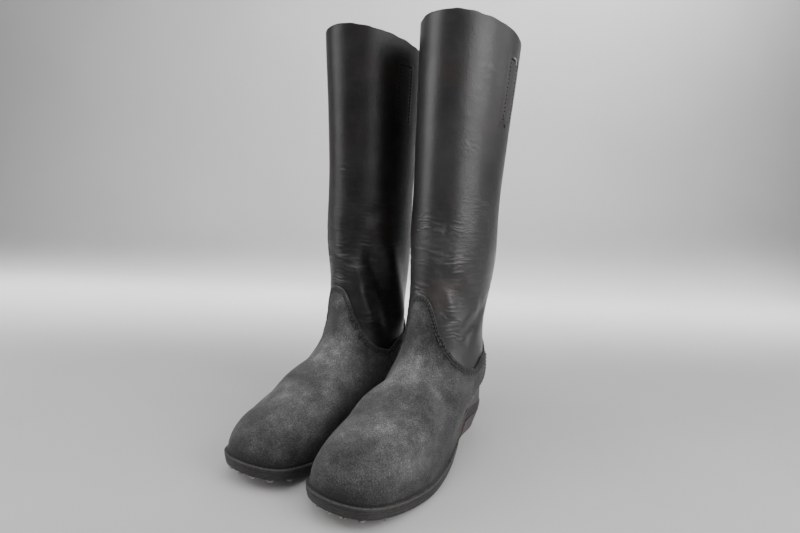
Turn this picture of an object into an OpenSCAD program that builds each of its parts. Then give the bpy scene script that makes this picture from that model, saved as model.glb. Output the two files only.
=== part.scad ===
// A pair of tall leather boots, standing side by side.
// One boot is worked out in its own boot frame: x towards the outer side, y from the heel to
// the toe, z up. to_stand() turns a boot-frame point into the left boot's place, toes towards -Y.
// The right boot is the left one mirrored. The origin is under the middle of the pair.

/* [Pair] */
// Distance between the middle lines of the two boots
boot_gap = 114; // [112:1:150]
// How far the left boot stands behind the right one
stagger = 5; // [0:1:20]
// How far each boot's toe is turned out, in degrees
toe_out = 1; // [0:1:10]

/* [Foot] */
// Height of the last's edge above the ground, at the heel
heel_z = 37; // [28:0.5:45]
// Height of the last's edge above the ground, at the ball
ball_z = 15; // [14:0.5:20]
// How far the toe rises above the ball
toe_spring = 17; // [0:1:30]
// How far forward the heel reaches
breast_y = 60; // [56:1:70]
// How far forward the last's edge stays level
level_y = 72; // [70:1:80]
// Where the sole comes down to the ball
ball_y = 200; // [170:1:210]

/* [Sole] */
// How far the sole's edge stands out from the last's edge
sole_edge = 5; // [3:0.5:8]
// How far the sole is cut in at the waist, between the heel and the ball
waist_in = 4; // [0:0.5:6]
// How much smaller the heel is at the ground than under the outsole, on each side
heel_taper = 6.5; // [0:0.5:8]
// How far the heel's back slopes forward down to the ground
heel_rake = 5; // [0:0.5:10]
// Thickness of the welt
welt_t = 3.5; // [2:0.5:4]
// Thickness of the midsole
midsole_t = 4; // [2:0.5:5]
// Thickness of the outsole
outsole_t = 4.5; // [3:0.5:6]
// Thickness of the heel's top piece and of its iron
top_piece_t = 4; // [3:0.5:6]
// Width of the U-shaped heel iron
iron_w = 9; // [6:1:14]
// Thickness of the insole
insole_t = 3; // [2:0.5:4]
// Radius of a hobnail's head
hobnail_r = 4.2; // [3:0.1:6]

/* [Leather] */
// Thickness of the shaft's leather
shaft_t = 2.2; // [1.5:0.1:3]
// Thickness of the vamp's leather
vamp_t = 2.2; // [1.5:0.1:3]
// Thickness of the heel counter's leather
counter_t = 1.8; // [1.5:0.1:3]
// Width of the vamp's margin that is turned in under the insole
lasting_w = 14; // [8:1:18]

/* [Pull straps] */
// Width of the tape
tape_w = 24; // [18:1:30]
// Thickness of the tape
tape_t = 1.6; // [1:0.1:2.5]
// Height of the top end of the tab that is sewn to the shaft
strap_top_z = 456; // [430:1:458]
// Length of the sewn tab
tab_l = 67; // [40:1:80]
// Length of the free loop
loop_l = 38; // [30:1:45]
// Clear width of the loop's eye
eye_w = 10; // [8:0.5:14]

/* [Hidden] */

// Plan outline of the last's edge, [x, y], from the heel's back round the outer side to the
// toe and back along the inner side.
LAST = [
    [0, 3], [22, 11], [26, 58], [44, 115], [51, 188], [33, 268],
    [-3, 288], [-41, 268], [-46, 199], [-31, 138], [-28, 66], [-24, 12],
];
// Rings of the leg, from the instep to the rim: [z back, z front, y back, y front, half width,
// shift to the outer side].
LEG = [
    [89, 150, 15, 133, 47, 0.5],
    [144, 199, 10, 135, 42, 0.5],
    [222, 255, 5.5, 137, 48.5, 3],
    [308, 332, 5, 137, 48, 3.5],
    [470, 490, -7, 143.5, 53, 7],
];
// Top edge of the vamp: [angle from the front, height parameter]. The parameter is 0 at the
// last's edge, 1 at the leg's first ring and 5 at the rim.
VAMP_TOP = [
    [0, 1.88], [10, 1.86], [17, 1.78], [22, 1.62], [26, 1.4], [30, 1.14], [36, 0.98],
    [48, 0.91], [60, 0.88], [78, 0.88], [96, 1.02], [120, 1.3], [180, 1.6],
];
rim_s = len(LEG);
mid_y = 144;
// Faces of the leathers: distances along the skin's outward normal
shaft_out = -0.9;
shaft_in = shaft_out - shaft_t;
vamp_in = -0.7;
vamp_out = vamp_in + vamp_t;
counter_in = vamp_out + 0.5;
tab_out = shaft_in - 0.2;
tab_in = tab_out - 2;
// Every column of the vamp shares its levels up to its edge's lowest stretch, and the tongue
// rises above them. The shaft starts a little under the vamp's edge.
low_edge = 0.86;
under_vamp = 0.24;
// How much thinner the vamp and the shaft are where they lie over each other
pared = 0.8;
// Free height between the vamp's turned-in margin and the welt, and over each other layer
welt_gap = 0.3;
layer_gap = 0.05;
sole_t = welt_t + midsole_t + outsole_t;
heel_top = heel_z - sole_t;
lift_t = (heel_top - top_piece_t) / 3;
lift_edge = sole_edge - 1.2;
iron_edge = lift_edge - heel_taper;
// Distance from the heel of each strap's middle, on the outer and on the inner side
strap_y = [64, 77];
loop_gap = 1.8;
columns = 48;

// --- The surface of one boot ---

// Catmull-Rom blend of four values
function spline(a, b, c, d, f) =
    0.5 * (2 * b + (c - a) * f + (2 * a - 5 * b + 4 * c - d) * f * f
        + (3 * b - a - 3 * c + d) * f * f * f);

// Point of the last's edge in plan, u from 0 to 1 round the foot
function last_xy(u) =
    let (n = len(LAST), t = (u - floor(u)) * n, i = floor(t))
    spline(LAST[(i + n - 1) % n], LAST[i % n], LAST[(i + 1) % n], LAST[(i + 2) % n], t - i);

// Height of the last's edge at a distance from the heel's back
function last_z(y) =
    let (
        t = max(0, min(1, (y - level_y) / (ball_y - level_y))),
        fall = t * t * (3 - 2 * t),
        rise = max(0, (y - ball_y + 5) / 97)
    )
    heel_z + (ball_z - heel_z) * fall + toe_spring * pow(rise, 1.8);

function last_point(u) =
    let (p = last_xy(u))
    [p.x, p.y, last_z(p.y)];

// Leg ring at a height parameter, between and past the given rings
function leg_ring(t) =
    let (
        m = len(LEG) - 1,
        i = min(m - 1, floor(t)),
        before = i == 0 ? 2 * LEG[0] - LEG[1] : LEG[i - 1],
        after = i == m - 1 ? 2 * LEG[m] - LEG[m - 1] : LEG[i + 2]
    )
    spline(before, LEG[i], LEG[i + 1], after, t - i);

function ring_point(u, r) =
    let (c = -cos(360 * u))
    [
        r[5] + r[4] * sin(360 * u),
        (r[2] + r[3]) / 2 + (r[3] - r[2]) / 2 * c,
        (r[0] + r[1]) / 2 + (r[1] - r[0]) / 2 * c,
    ];

// Foot part: a curve that rises upright from the last's edge and runs into the leg
function foot_point(u, s) =
    let (
        c = -cos(360 * u),
        p0 = last_point(u),
        p3 = ring_point(u, LEG[0]),
        along = ring_point(u, leg_ring(0.05)) - p3,
        p1 = p0 + [0, 0, 45 + 15 * c],
        p2 = p3 - along / norm(along) * (54 + 25 * c),
        q = 1 - s
    )
    q * q * q * p0 + 3 * q * q * s * p1 + 3 * q * s * s * p2 + s * s * s * p3;

function skin(u, s) = s < 1 ? foot_point(u, s) : ring_point(u, leg_ring(s - 1));

// Outward unit normal of the skin
function skin_normal(u, s) =
    let (
        along = skin(u + 0.004, s) - skin(u - 0.004, s),
        up = skin(u, s + 0.02) - skin(u, max(0, s - 0.02)),
        n = cross(along, up)
    )
    n / norm(n);

function off_skin(u, s, d) = skin(u, s) + d * skin_normal(u, s);

// Outward normal of the last's edge, in plan
function edge_normal(u) =
    let (t = last_xy(u + 0.003) - last_xy(u - 0.003))
    [t.y, -t.x] / norm(t);

// Place round the foot where the last's edge is at distance y, by halving
function find_u(y, lo, hi, n = 22) =
    let (m = (lo + hi) / 2)
    n == 0 ? m : last_xy(m).y < y ? find_u(y, m, hi, n - 1) : find_u(y, lo, m, n - 1);

// Height parameter where the skin reaches height z, by halving
function find_s(u, z, lo = 0, hi = rim_s, n = 22) =
    let (m = (lo + hi) / 2)
    n == 0 ? m : skin(u, m).z < z ? find_s(u, z, m, hi, n - 1) : find_s(u, z, lo, m, n - 1);

// Columns round the boot, closer together at heel and toe, in pairs at the same distance y
heel_y = last_xy(0).y;
toe_y = last_xy(0.5).y;
half = columns / 2;
STATIONS = [for (k = [1 : half - 1]) heel_y + (toe_y - heel_y) * (1 - cos(180 * k / half)) / 2];
OUTER_U = [for (y = STATIONS) find_u(y, 0, 0.5)];
INNER_U = [for (y = STATIONS) find_u(y, 1, 0.5)];
ROUND_U = concat([0], OUTER_U, [0.5], reversed(INNER_U));
HEEL_STATIONS = [for (k = [1 : 8]) heel_y + (breast_y - heel_y) * (1 - cos(90 * k / 8))];
HEEL_OUTER_U = [for (y = HEEL_STATIONS) find_u(y, 0, 0.5)];
HEEL_INNER_U = [for (y = HEEL_STATIONS) find_u(y, 1, 0.5)];

function front_angle(u) = abs(360 * u - 180);
function vamp_top(u) = lookup(front_angle(u), VAMP_TOP);

// Boot-frame point to the standing left boot
function to_stand(p) =
    let (x = p.x, y = mid_y - p.y, c = cos(toe_out), s = sin(toe_out), pivot = mid_y - 90)
    [x * c - (y - pivot) * s + boot_gap / 2, x * s + (y - pivot) * c + pivot + stagger / 2, p.z];

// --- Solids from lists of points ---

// Solid through a list of cross-sections with the same number of points: a closed ring of
// sections, or an open row with flat ends. Each side face is split along its shorter diagonal.
module loft(sections, closed) {
    n = len(sections);
    m = len(sections[0]);
    points = [for (sec = sections, p = sec) to_stand(p)];
    sides = [
        for (i = [0 : closed ? n - 1 : n - 2], j = [0 : m - 1])
            let (
                a = i * m + j,
                b = i * m + (j + 1) % m,
                next = (i + 1) % n * m,
                c = next + (j + 1) % m,
                d = next + j
            )
            each norm(points[a] - points[c]) < norm(points[b] - points[d]) ?
                [[a, c, b], [a, d, c]] : [[a, d, b], [b, d, c]]
    ];
    last = (n - 1) * m;
    ends = closed ? [] : [
        for (j = [0 : m / 2 - 2])
            let (a = j, b = j + 1, c = m - 2 - j, d = m - 1 - j)
            each [
                [a, b, c], [a, c, d],
                [last + a, last + c, last + b], [last + a, last + d, last + c],
            ]
    ];
    polyhedron(points, concat(sides, ends));
}

// Evenly spaced values from lo to hi
function spaced(lo, hi, steps) = [for (k = [0 : steps]) lo + (hi - lo) * k / steps];

function reversed(list) = [for (k = [len(list) - 1 : -1 : 0]) list[k]];

// Cross-section of a leather wall at u: up its outside and down its inside. levels holds the
// height parameters that it passes through, and the first trimmed levels are pared outside.
function wall_section(u, levels, outside, inside, trimmed = 0) = concat(
    [for (k = [0 : len(levels) - 1]) off_skin(u, levels[k], outside - (k < trimmed ? pared : 0))],
    [for (s = reversed(levels)) off_skin(u, s, inside)]
);

// Plan point on the last's edge, grown by d
function edge_point(u, d) = last_xy(u) + d * edge_normal(u);

// The same for an outer edge of the sole, which is cut in at the waist
function sole_point(u, d) =
    let (t = (last_xy(u).y - 94) / 34)
    edge_point(u, d <= 0 ? d : d - waist_in * exp(-t * t));

// Plan point raised to a height above the last's edge
function over_last(p, height) = [p.x, p.y, last_z(p.y) + height];

// Plate under or over the last's edge, grown by d, between two heights above that edge. It is
// a row of strips across the foot, from the outer edge to the inner edge.
module sole_plate(d, top, base, from_k = 0, to_k = 22) {
    tip = [0.6, 0];
    heel_end = edge_point(0, d);
    toe_end = edge_point(0.5, d);
    pairs = concat(
        from_k == 0 ? [[heel_end + tip, heel_end - tip]] : [],
        [for (k = [from_k : to_k]) [sole_point(OUTER_U[k], d), sole_point(INNER_U[k], d)]],
        to_k == 22 ? [[toe_end + tip, toe_end - tip]] : []
    );
    loft([
        for (p = pairs)
            [
                over_last(p[0], top - layer_gap), over_last(p[1], top - layer_gap),
                over_last(p[1], base), over_last(p[0], base),
            ]
    ], false);
}

// Plan point of the heel at a depth from 0, under the outsole, to 1, at the ground
function heel_point(u, d, depth) =
    let (p = edge_point(u, d), back = max(0, (breast_y - p.y) / (breast_y - heel_y)))
    p + [0, heel_rake * depth * back];

// Plan of the heel, grown by d. ahead is how far it runs straight on past the breast.
function heel_plan(d, depth, ahead = 0) =
    let (
        outer = [for (u = HEEL_OUTER_U) heel_point(u, d, depth)],
        inner = [for (u = reversed(HEEL_INNER_U)) heel_point(u, d, depth)]
    )
    concat(
        [heel_point(0, d, depth)], outer,
        ahead > 0 ? [outer[7] + [0, ahead], inner[0] + [0, ahead]] : [],
        inner
    );

module heel_slab(d, depth, base, thickness, ahead = 0) {
    translate([0, 0, base])
        linear_extrude(thickness)
            polygon([
                for (p = heel_plan(d, depth, ahead))
                    let (q = to_stand([p.x, p.y, 0]))
                    [q.x, q.y]
            ]);
}

// --- Uppers ---

module shaft() {
    // The shaft is one piece of leather. It starts under the vamp, ends at the rim and is
    // closed by a seam down its back.
    seam = 0.0004;
    color("#1d1c1f")
        loft([
            for (u = concat([seam], OUTER_U, [0.5], reversed(INNER_U), [1 - seam]))
                let (lo = vamp_top(u) - under_vamp)
                wall_section(
                    u,
                    concat(
                        spaced(lo, lo + under_vamp - 0.04, 3),
                        spaced(lo + under_vamp + 0.04, 2, 5), spaced(2.375, rim_s, 7)
                    ),
                    shaft_out, shaft_in, 4
                )
        ], false);
}

// Strip that covers the back seam, from under the counter to the rim
module back_strip() {
    strip_w = 14;
    strip_t = 1.2;
    spread = strip_w / 2 / 430;
    color("#1d1c1f")
        loft([
            for (side = spaced(-1, 1, 4))
                let (u = 1 + side * spread)
                wall_section(
                    u, spaced(find_s(u, 128), rim_s, 16),
                    shaft_out + 0.2 + strip_t, shaft_out + 0.2
                )
        ], false);
}

// Inner face of the vamp, which is pared thinner where it lies over the shaft
function vamp_inside(u, s) = s > vamp_top(u) - under_vamp - 0.22 ? vamp_in + pared : vamp_in;

module vamp() {
    margin_t = 2;
    color("#4b4a4c")
        loft([
            for (u = ROUND_U)
                let (
                    above = low_edge + 0.003,
                    levels = concat(spaced(0.05, low_edge, 8), spaced(above, vamp_top(u), 6)),
                    turned = over_last(edge_point(u, -lasting_w), 0),
                    rise = [0, 0, margin_t]
                )
                concat(
                    [turned, off_skin(u, 0, vamp_out)],
                    [for (s = levels) off_skin(u, s, vamp_out)],
                    [for (s = reversed(levels)) off_skin(u, s, vamp_inside(u, s))],
                    [off_skin(u, 0, vamp_in) + rise, turned + rise]
                )
        ], true);
}

// Patch of wall at the heel's back, reach columns out to each side, up to a height that drops
// by fall towards its front edges
module back_patch(reach, base_s, top_z, fall, outside, inside) {
    near = [for (k = [0 : reach - 1]) 1 + OUTER_U[k]];
    far = [for (k = [reach - 1 : -1 : 0]) INNER_U[k]];
    loft([
        for (u = concat(far, [1], near))
            let (
                side = (u - 1) / OUTER_U[reach - 1],
                hi = find_s(u, top_z - fall * pow(abs(side), 3))
            )
            wall_section(u, spaced(base_s, hi, 12), outside, inside)
    ], false);
}

module heel_counter() {
    color("#3f3e41")
        back_patch(7, 0, 134, 17, counter_in + counter_t, counter_in);
}

module counter_stiffener() {
    color("#8a6a48")
        back_patch(8, 0.08, 88, 14, vamp_in - 0.3, vamp_in - 2);
}

module counter_lining() {
    color("#a58660")
        back_patch(9, 0.08, 108, 20, shaft_in - 0.3, shaft_in - 1.5);
}

module toe_puff() {
    reach = 0.13;
    color("#8a6a48")
        loft([
            for (side = spaced(-1, 1, 16))
                wall_section(
                    0.5 + reach * side, spaced(0.08, 0.42 - 0.16 * side * side, 5),
                    vamp_in - 1, vamp_in - 2.6
                )
        ], false);
}

// --- Bottom ---

module insole() {
    color("#8d6b47")
        sole_plate(vamp_in - 3.2, 2.2 + insole_t, 2.2);
}

module filler() {
    color("#9a7a55")
        sole_plate(-lasting_w - 1, 2, 0.2, 12, 20);
}

module shank() {
    shank_w = 15;
    color("#9a9da0")
        loft([
            for (k = [0 : 12])
                let (y = 28 + 100 * k / 12, z = last_z(y))
                [
                    [shank_w / 2, y, z + 2], [-shank_w / 2, y, z + 2],
                    [-shank_w / 2, y, z + 0.4], [shank_w / 2, y, z + 0.4],
                ]
        ], false);
}

module welt() {
    color("#383533")
        sole_plate(sole_edge, -welt_gap, -welt_t);
}

module midsole() {
    color("#3a3632")
        sole_plate(sole_edge - 0.5, -welt_t, -welt_t - midsole_t);
}

module outsole() {
    color("#3a352f")
        sole_plate(sole_edge - 1, -welt_t - midsole_t, -sole_t);
}

// --- Heel ---

module heel_lift(number) {
    color("#4a3f3c")
        heel_slab(
            lift_edge - heel_taper * (number - 0.5) / 3.4, (number - 0.5) / 3.4,
            heel_top - number * lift_t, lift_t - layer_gap
        );
}

module heel_top_piece() {
    color("#3c3836") {
        heel_slab(iron_edge - iron_w, 1, 0, top_piece_t / 2);
        heel_slab(iron_edge, 1, top_piece_t / 2, top_piece_t / 2);
    }
}

// Middles of the heel iron's nails, in plan
IRON_NAILS = [
    for (u = concat([0], [for (y = [18, 35, 52]) each [find_u(y, 0, 0.5), find_u(y, 1, 0.5)]]))
        heel_point(u, iron_edge - iron_w / 2, 1),
];

module heel_iron() {
    color("#75777a")
        difference() {
            heel_slab(iron_edge, 1, 0, top_piece_t / 2);
            // The inside of the U, open towards the breast
            heel_slab(iron_edge - iron_w + 0.2, 1, -1, top_piece_t, 9);
            for (p = IRON_NAILS)
                translate(to_stand([p.x, p.y, -1]))
                    cylinder(r = 2.1, h = top_piece_t, $fn = 32);
        }
}

module heel_nails() {
    color("#8c8e90")
        for (p = IRON_NAILS)
            translate(to_stand([p.x, p.y, 0])) {
                translate([0, 0, 0.1])
                    cylinder(r = 2, h = top_piece_t / 2 - 0.1, $fn = 32);
                translate([0, 0, top_piece_t / 2 - 0.2])
                    cylinder(r = 1, h = 7, $fn = 32);
            }
}

// Middles of the hobnails, where their heads meet the outsole: rows of four across the forepart
// and a bow of them round the toe
HOBNAILS = [
    for (y = [148 : 16 : 244])
        let (
            outer = last_xy(find_u(y, 0, 0.5)).x - 7,
            inner = last_xy(find_u(y, 1, 0.5)).x + 7
        )
        for (x = spaced(inner, outer, 3))
            over_last([x, y], -sole_t),
    for (u = spaced(0.4, 0.6, 6))
        over_last(edge_point(u, -1.5), -sole_t),
];

module hobnails() {
    head_h = ball_z - sole_t;
    color("#a3a5a7")
        for (p = HOBNAILS)
            translate(to_stand(p))
                rotate_extrude($fn = 32)
                    polygon([
                        [0, -head_h], [hobnail_r * 0.5, -head_h], [hobnail_r * 0.85, -head_h * 0.7],
                        [hobnail_r, 0], [1.1, 0], [1.1, 3], [0, 4],
                    ]);
}

// --- Pull straps ---

// Place round the leg of a strap's middle, on the outer (0) or the inner (1) side
function strap_turn(inner) =
    let (
        r = LEG[len(LEG) - 1],
        c = (strap_y[inner] - (r[2] + r[3]) / 2) / ((r[3] - r[2]) / 2),
        a = acos(-c)
    )
    inner == 1 ? 1 - a / 360 : a / 360;

// Middle of the loop's hinge line, in the boot frame
function strap_hinge(inner) =
    let (u = strap_turn(inner), s = find_s(u, strap_top_z))
    off_skin(u, s, tab_in - loop_gap - tape_t / 2);

// How far the wall beside the hanging loop leans, in degrees
function strap_lean(inner) =
    let (
        u = strap_turn(inner),
        top = off_skin(u, find_s(u, strap_top_z), tab_in),
        low = off_skin(u, find_s(u, strap_top_z - loop_l), tab_in)
    )
    atan2(abs(top.x - low.x), top.z - low.z);

module strap_tab(inner) {
    middle = strap_turn(inner);
    ring = LEG[len(LEG) - 1];
    spread = tape_w / 2 / (PI * (ring[3] - ring[2]));
    color("#6f6a5c")
        loft([
            for (side = spaced(-1, 1, 6))
                let (
                    u = middle + side * spread,
                    lo = find_s(u, strap_top_z - tab_l),
                    hi = find_s(u, strap_top_z)
                )
                wall_section(u, spaced(lo, hi, 4), tab_out, tab_in)
        ], false);
}

// Side view of a hanging drop between a small circle above and a large one below. Both touch
// the same upright line on the side of the wall.
function drop(top, top_r, base, base_r) =
    let (
        reach = base - top,
        lean = atan2(reach.y, reach.x) + acos((top_r - base_r) / norm(reach))
    )
    concat(
        [for (k = [0 : 4]) let (a = lean + (180 - lean) * k / 4) top + top_r * [cos(a), sin(a)]],
        [for (k = [0 : 12]) let (a = 180 + (180 + lean) * k / 12) base + base_r * [cos(a), sin(a)]]
    );

module strap_loop(inner) {
    p = to_stand(strap_hinge(inner));
    eye_r = eye_w / 2;
    low = [eye_r + tape_t / 2, eye_r + tape_t - loop_l];
    knuckle = 7;
    tip_r = 0.3;
    color("#7b7566")
        translate([p.x, p.y + tape_w / 2, p.z])
            mirror([inner == 1 ? 0 : 1, 0, 0])
                rotate([90, 0, 0])
                    rotate([0, 0, strap_lean(inner)])
                        difference() {
                            linear_extrude(tape_w)
                                polygon(drop([0, 0], tape_t / 2, low, eye_r + tape_t));
                            translate([0, 0, -1])
                                linear_extrude(tape_w + 2)
                                    polygon(drop([tape_t / 2 + tip_r, -knuckle], tip_r, low, eye_r));
                        }
}

// --- Pieces ---

module mirrored() {
    translate([0, -stagger, 0])
        mirror([1, 0, 0])
            children();
}

shaft();  // left_shaft
back_strip();  // left_back_strip
vamp();  // left_vamp
heel_counter();  // left_heel_counter
counter_stiffener();  // left_counter_stiffener
counter_lining();  // left_counter_lining
toe_puff();  // left_toe_puff
insole();  // left_insole
filler();  // left_filler
shank();  // left_shank
welt();  // left_welt
midsole();  // left_midsole
outsole();  // left_outsole
heel_lift(1);  // left_heel_lift_1
heel_lift(2);  // left_heel_lift_2
heel_lift(3);  // left_heel_lift_3
heel_top_piece();  // left_heel_top_piece
heel_iron();  // left_heel_iron
heel_nails();  // left_heel_nails
hobnails();  // left_hobnails
strap_tab(0);  // left_outer_strap_tab
strap_tab(1);  // left_inner_strap_tab
strap_loop(0);  // left_outer_strap_loop
strap_loop(1);  // left_inner_strap_loop

mirrored() shaft();  // right_shaft
mirrored() back_strip();  // right_back_strip
mirrored() vamp();  // right_vamp
mirrored() heel_counter();  // right_heel_counter
mirrored() counter_stiffener();  // right_counter_stiffener
mirrored() counter_lining();  // right_counter_lining
mirrored() toe_puff();  // right_toe_puff
mirrored() insole();  // right_insole
mirrored() filler();  // right_filler
mirrored() shank();  // right_shank
mirrored() welt();  // right_welt
mirrored() midsole();  // right_midsole
mirrored() outsole();  // right_outsole
mirrored() heel_lift(1);  // right_heel_lift_1
mirrored() heel_lift(2);  // right_heel_lift_2
mirrored() heel_lift(3);  // right_heel_lift_3
mirrored() heel_top_piece();  // right_heel_top_piece
mirrored() heel_iron();  // right_heel_iron
mirrored() heel_nails();  // right_heel_nails
mirrored() hobnails();  // right_hobnails
mirrored() strap_tab(0);  // right_outer_strap_tab
mirrored() strap_tab(1);  // right_inner_strap_tab
mirrored() strap_loop(0);  // right_outer_strap_loop
mirrored() strap_loop(1);  // right_inner_strap_loop
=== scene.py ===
"""Looks for a pair of tall leather boots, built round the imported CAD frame.

One boot is worked out in its own boot frame, in millimetres: x towards the outer side, y from
the heel to the toe, z up. Stand.place() turns boot-frame points into the standing left or right
boot, in metres. u runs once round the boot: 0 at the heel's back, 0.25 on the outer side, 0.5 at
the toe, 0.75 on the inner side. s is the height parameter: 0 at the last's edge, 1 at the leg's
first ring, 5 at the rim. phi is the angle from the front in degrees, below 0 on the outer side.
"""

from functools import partial
import math

import bpy
import numpy as np
from mathutils import Matrix, Vector


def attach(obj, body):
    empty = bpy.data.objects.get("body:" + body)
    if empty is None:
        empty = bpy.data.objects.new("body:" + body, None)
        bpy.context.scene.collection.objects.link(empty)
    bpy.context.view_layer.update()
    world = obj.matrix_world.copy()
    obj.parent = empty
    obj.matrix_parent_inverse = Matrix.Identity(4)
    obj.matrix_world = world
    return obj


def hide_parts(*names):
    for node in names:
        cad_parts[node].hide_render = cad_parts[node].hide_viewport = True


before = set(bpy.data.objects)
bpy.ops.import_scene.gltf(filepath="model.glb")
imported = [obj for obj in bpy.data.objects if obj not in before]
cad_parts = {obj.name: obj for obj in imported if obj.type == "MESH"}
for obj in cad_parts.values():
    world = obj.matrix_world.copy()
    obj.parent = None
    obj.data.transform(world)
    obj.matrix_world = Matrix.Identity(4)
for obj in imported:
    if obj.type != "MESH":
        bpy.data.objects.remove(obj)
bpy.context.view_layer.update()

SIDES = ("left", "right")

# --- Driving dimensions, as in the CAD model, in millimetres ---

BOOT_GAP = 114
STAGGER = 5
TOE_OUT = math.radians(1)
MID_Y = 144
HEEL_Z, BALL_Z, TOE_SPRING = 37, 15, 17
BREAST_Y, LEVEL_Y, BALL_Y = 60, 72, 200
SOLE_EDGE = 5
WAIST_IN = 4
HEEL_TAPER, HEEL_RAKE = 6.5, 5
LIFT_EDGE = SOLE_EDGE - 1.2
WELT_T, MIDSOLE_T, OUTSOLE_T = 3.5, 4, 4.5
SOLE_T = WELT_T + MIDSOLE_T + OUTSOLE_T
TOP_PIECE_T = 4
IRON_W = 9
LIFT_T = (HEEL_Z - SOLE_T - TOP_PIECE_T) / 3
SHAFT_OUT, SHAFT_IN = -0.9, -3.1
VAMP_OUT, VAMP_IN = 1.5, -0.7
COUNTER_IN, COUNTER_OUT = 2.0, 3.8
TAPE_W, TAPE_T = 24, 1.6
STRAP_TOP_Z, TAB_L, LOOP_L, EYE_W = 456, 67, 38, 10
STRAP_Y = {"outer": 64, "inner": 77}
LOOP_GAP = 1.8
RIM_S = 5

# Rough lengths that turn angles and u into millimetres
ARC = 1.25  # round the leg, for one degree
STRAP_ARC = 1.22  # round the leg beside the straps, for one degree
GIRTH = 430  # once round the leg
HEEL_RADIUS = 45  # of the foot's back

LAST = np.array([
    (0, 3), (22, 11), (26, 58), (44, 115), (51, 188), (33, 268),
    (-3, 288), (-41, 268), (-46, 199), (-31, 138), (-28, 66), (-24, 12),
], float)
LEG = np.array([
    (89, 150, 15, 133, 47, 0.5),
    (144, 199, 10, 135, 42, 0.5),
    (222, 255, 5.5, 137, 48.5, 3),
    (308, 332, 5, 137, 48, 3.5),
    (470, 490, -7, 143.5, 53, 7),
], float)
# Top edge of the vamp: (angle from the tongue's middle, height parameter)
VAMP_TOP = np.array([
    (0, 1.88), (10, 1.86), (17, 1.78), (22, 1.62), (26, 1.4), (30, 1.14), (36, 0.98),
    (48, 0.91), (60, 0.88), (78, 0.88), (96, 1.02), (120, 1.3), (180, 1.6),
], float)
# Where each boot's tongue really points, in degrees, and how much higher its tip is
TONGUE = {"left": (7, 0.05), "right": (-5, -0.09)}


# --- The surface of one boot ---

def spline(a, b, c, d, f):
    """Catmull-Rom blend between b and c."""
    return 0.5 * (2 * b + (c - a) * f + (2 * a - 5 * b + 4 * c - d) * f * f
                  + (3 * b - a - 3 * c + d) * f * f * f)


def last_xy(u):
    t = np.mod(u, 1) * len(LAST)
    i = np.floor(t).astype(int)
    f = (t - i)[..., None]
    a, b, c, d = (LAST[(i + k) % len(LAST)] for k in (-1, 0, 1, 2))
    return spline(a, b, c, d, f)


def last_z(y):
    t = np.clip((y - LEVEL_Y) / (BALL_Y - LEVEL_Y), 0, 1)
    fall = t * t * (3 - 2 * t)
    rise = np.clip((y - BALL_Y + 5) / 97, 0, None)
    return HEEL_Z + (BALL_Z - HEEL_Z) * fall + TOE_SPRING * rise ** 1.8


def last_point(u):
    p = last_xy(u)
    return np.concatenate([p, last_z(p[..., 1:])], axis=-1)


def leg_ring(t):
    m = len(LEG) - 1
    i = np.clip(np.floor(t).astype(int), 0, m - 1)
    rings = np.vstack([2 * LEG[0] - LEG[1], LEG, 2 * LEG[m] - LEG[m - 1]])
    f = (t - i)[..., None]
    return spline(rings[i], rings[i + 1], rings[i + 2], rings[i + 3], f)


def ring_point(u, ring):
    z_back, z_front, y_back, y_front, half_w, shift = np.moveaxis(ring, -1, 0)
    c, s = -np.cos(2 * np.pi * u), np.sin(2 * np.pi * u)
    return np.stack([
        shift + half_w * s,
        (y_back + y_front) / 2 + (y_front - y_back) / 2 * c,
        (z_back + z_front) / 2 + (z_front - z_back) / 2 * c,
    ], axis=-1)


def foot_point(u, s):
    c = -np.cos(2 * np.pi * u)[..., None]
    p0 = last_point(u)
    p3 = ring_point(u, np.broadcast_to(LEG[0], u.shape + (6,)))
    along = ring_point(u, leg_ring(np.full(u.shape, 0.05))) - p3
    along /= np.linalg.norm(along, axis=-1, keepdims=True)
    p1 = p0 + (45 + 15 * c) * np.array([0, 0, 1])
    p2 = p3 - along * (54 + 25 * c)
    s = s[..., None]
    q = 1 - s
    return q ** 3 * p0 + 3 * q * q * s * p1 + 3 * q * s * s * p2 + s ** 3 * p3


def skin(u, s):
    u, s = np.broadcast_arrays(np.asarray(u, float), np.asarray(s, float))
    foot = foot_point(u, np.minimum(s, 1))
    leg = ring_point(u, leg_ring(np.maximum(s, 1) - 1))
    return np.where((s < 1)[..., None], foot, leg)


def unit(v):
    return v / np.maximum(np.linalg.norm(v, axis=-1, keepdims=True), 1e-12)


def skin_frame(u, s):
    """Point, outward normal, and derivatives along u and s."""
    u, s = np.broadcast_arrays(np.asarray(u, float), np.asarray(s, float))
    along = (skin(u + 0.002, s) - skin(u - 0.002, s)) / 0.004
    lo = np.maximum(s - 0.01, 0)
    up = (skin(u, s + 0.01) - skin(u, lo)) / (s + 0.01 - lo)[..., None]
    return skin(u, s), unit(np.cross(along, up)), along, up


def edge_normal(u):
    t = last_xy(u + 0.003) - last_xy(u - 0.003)
    n = np.stack([t[..., 1], -t[..., 0]], axis=-1)
    return unit(n)


def halve(test, lo, hi, steps=24):
    """Where test, true at lo's side, turns false, by halving."""
    for _ in range(steps):
        mid = (lo + hi) / 2
        low = test(mid)
        lo, hi = np.where(low, mid, lo), np.where(low, hi, mid)
    return (lo + hi) / 2


def find_u(y, inner):
    start = 1.0 if inner else 0.0
    y = np.asarray(y, float)
    return halve(lambda m: last_xy(m)[..., 1] < y, np.full(y.shape, start), np.full(y.shape, 0.5))


def find_s(u, z):
    u, z = np.broadcast_arrays(np.asarray(u, float), np.asarray(z, float))
    return halve(lambda m: skin(u, m)[..., 2] < z, np.zeros(u.shape), np.full(u.shape, 5.0))


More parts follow.
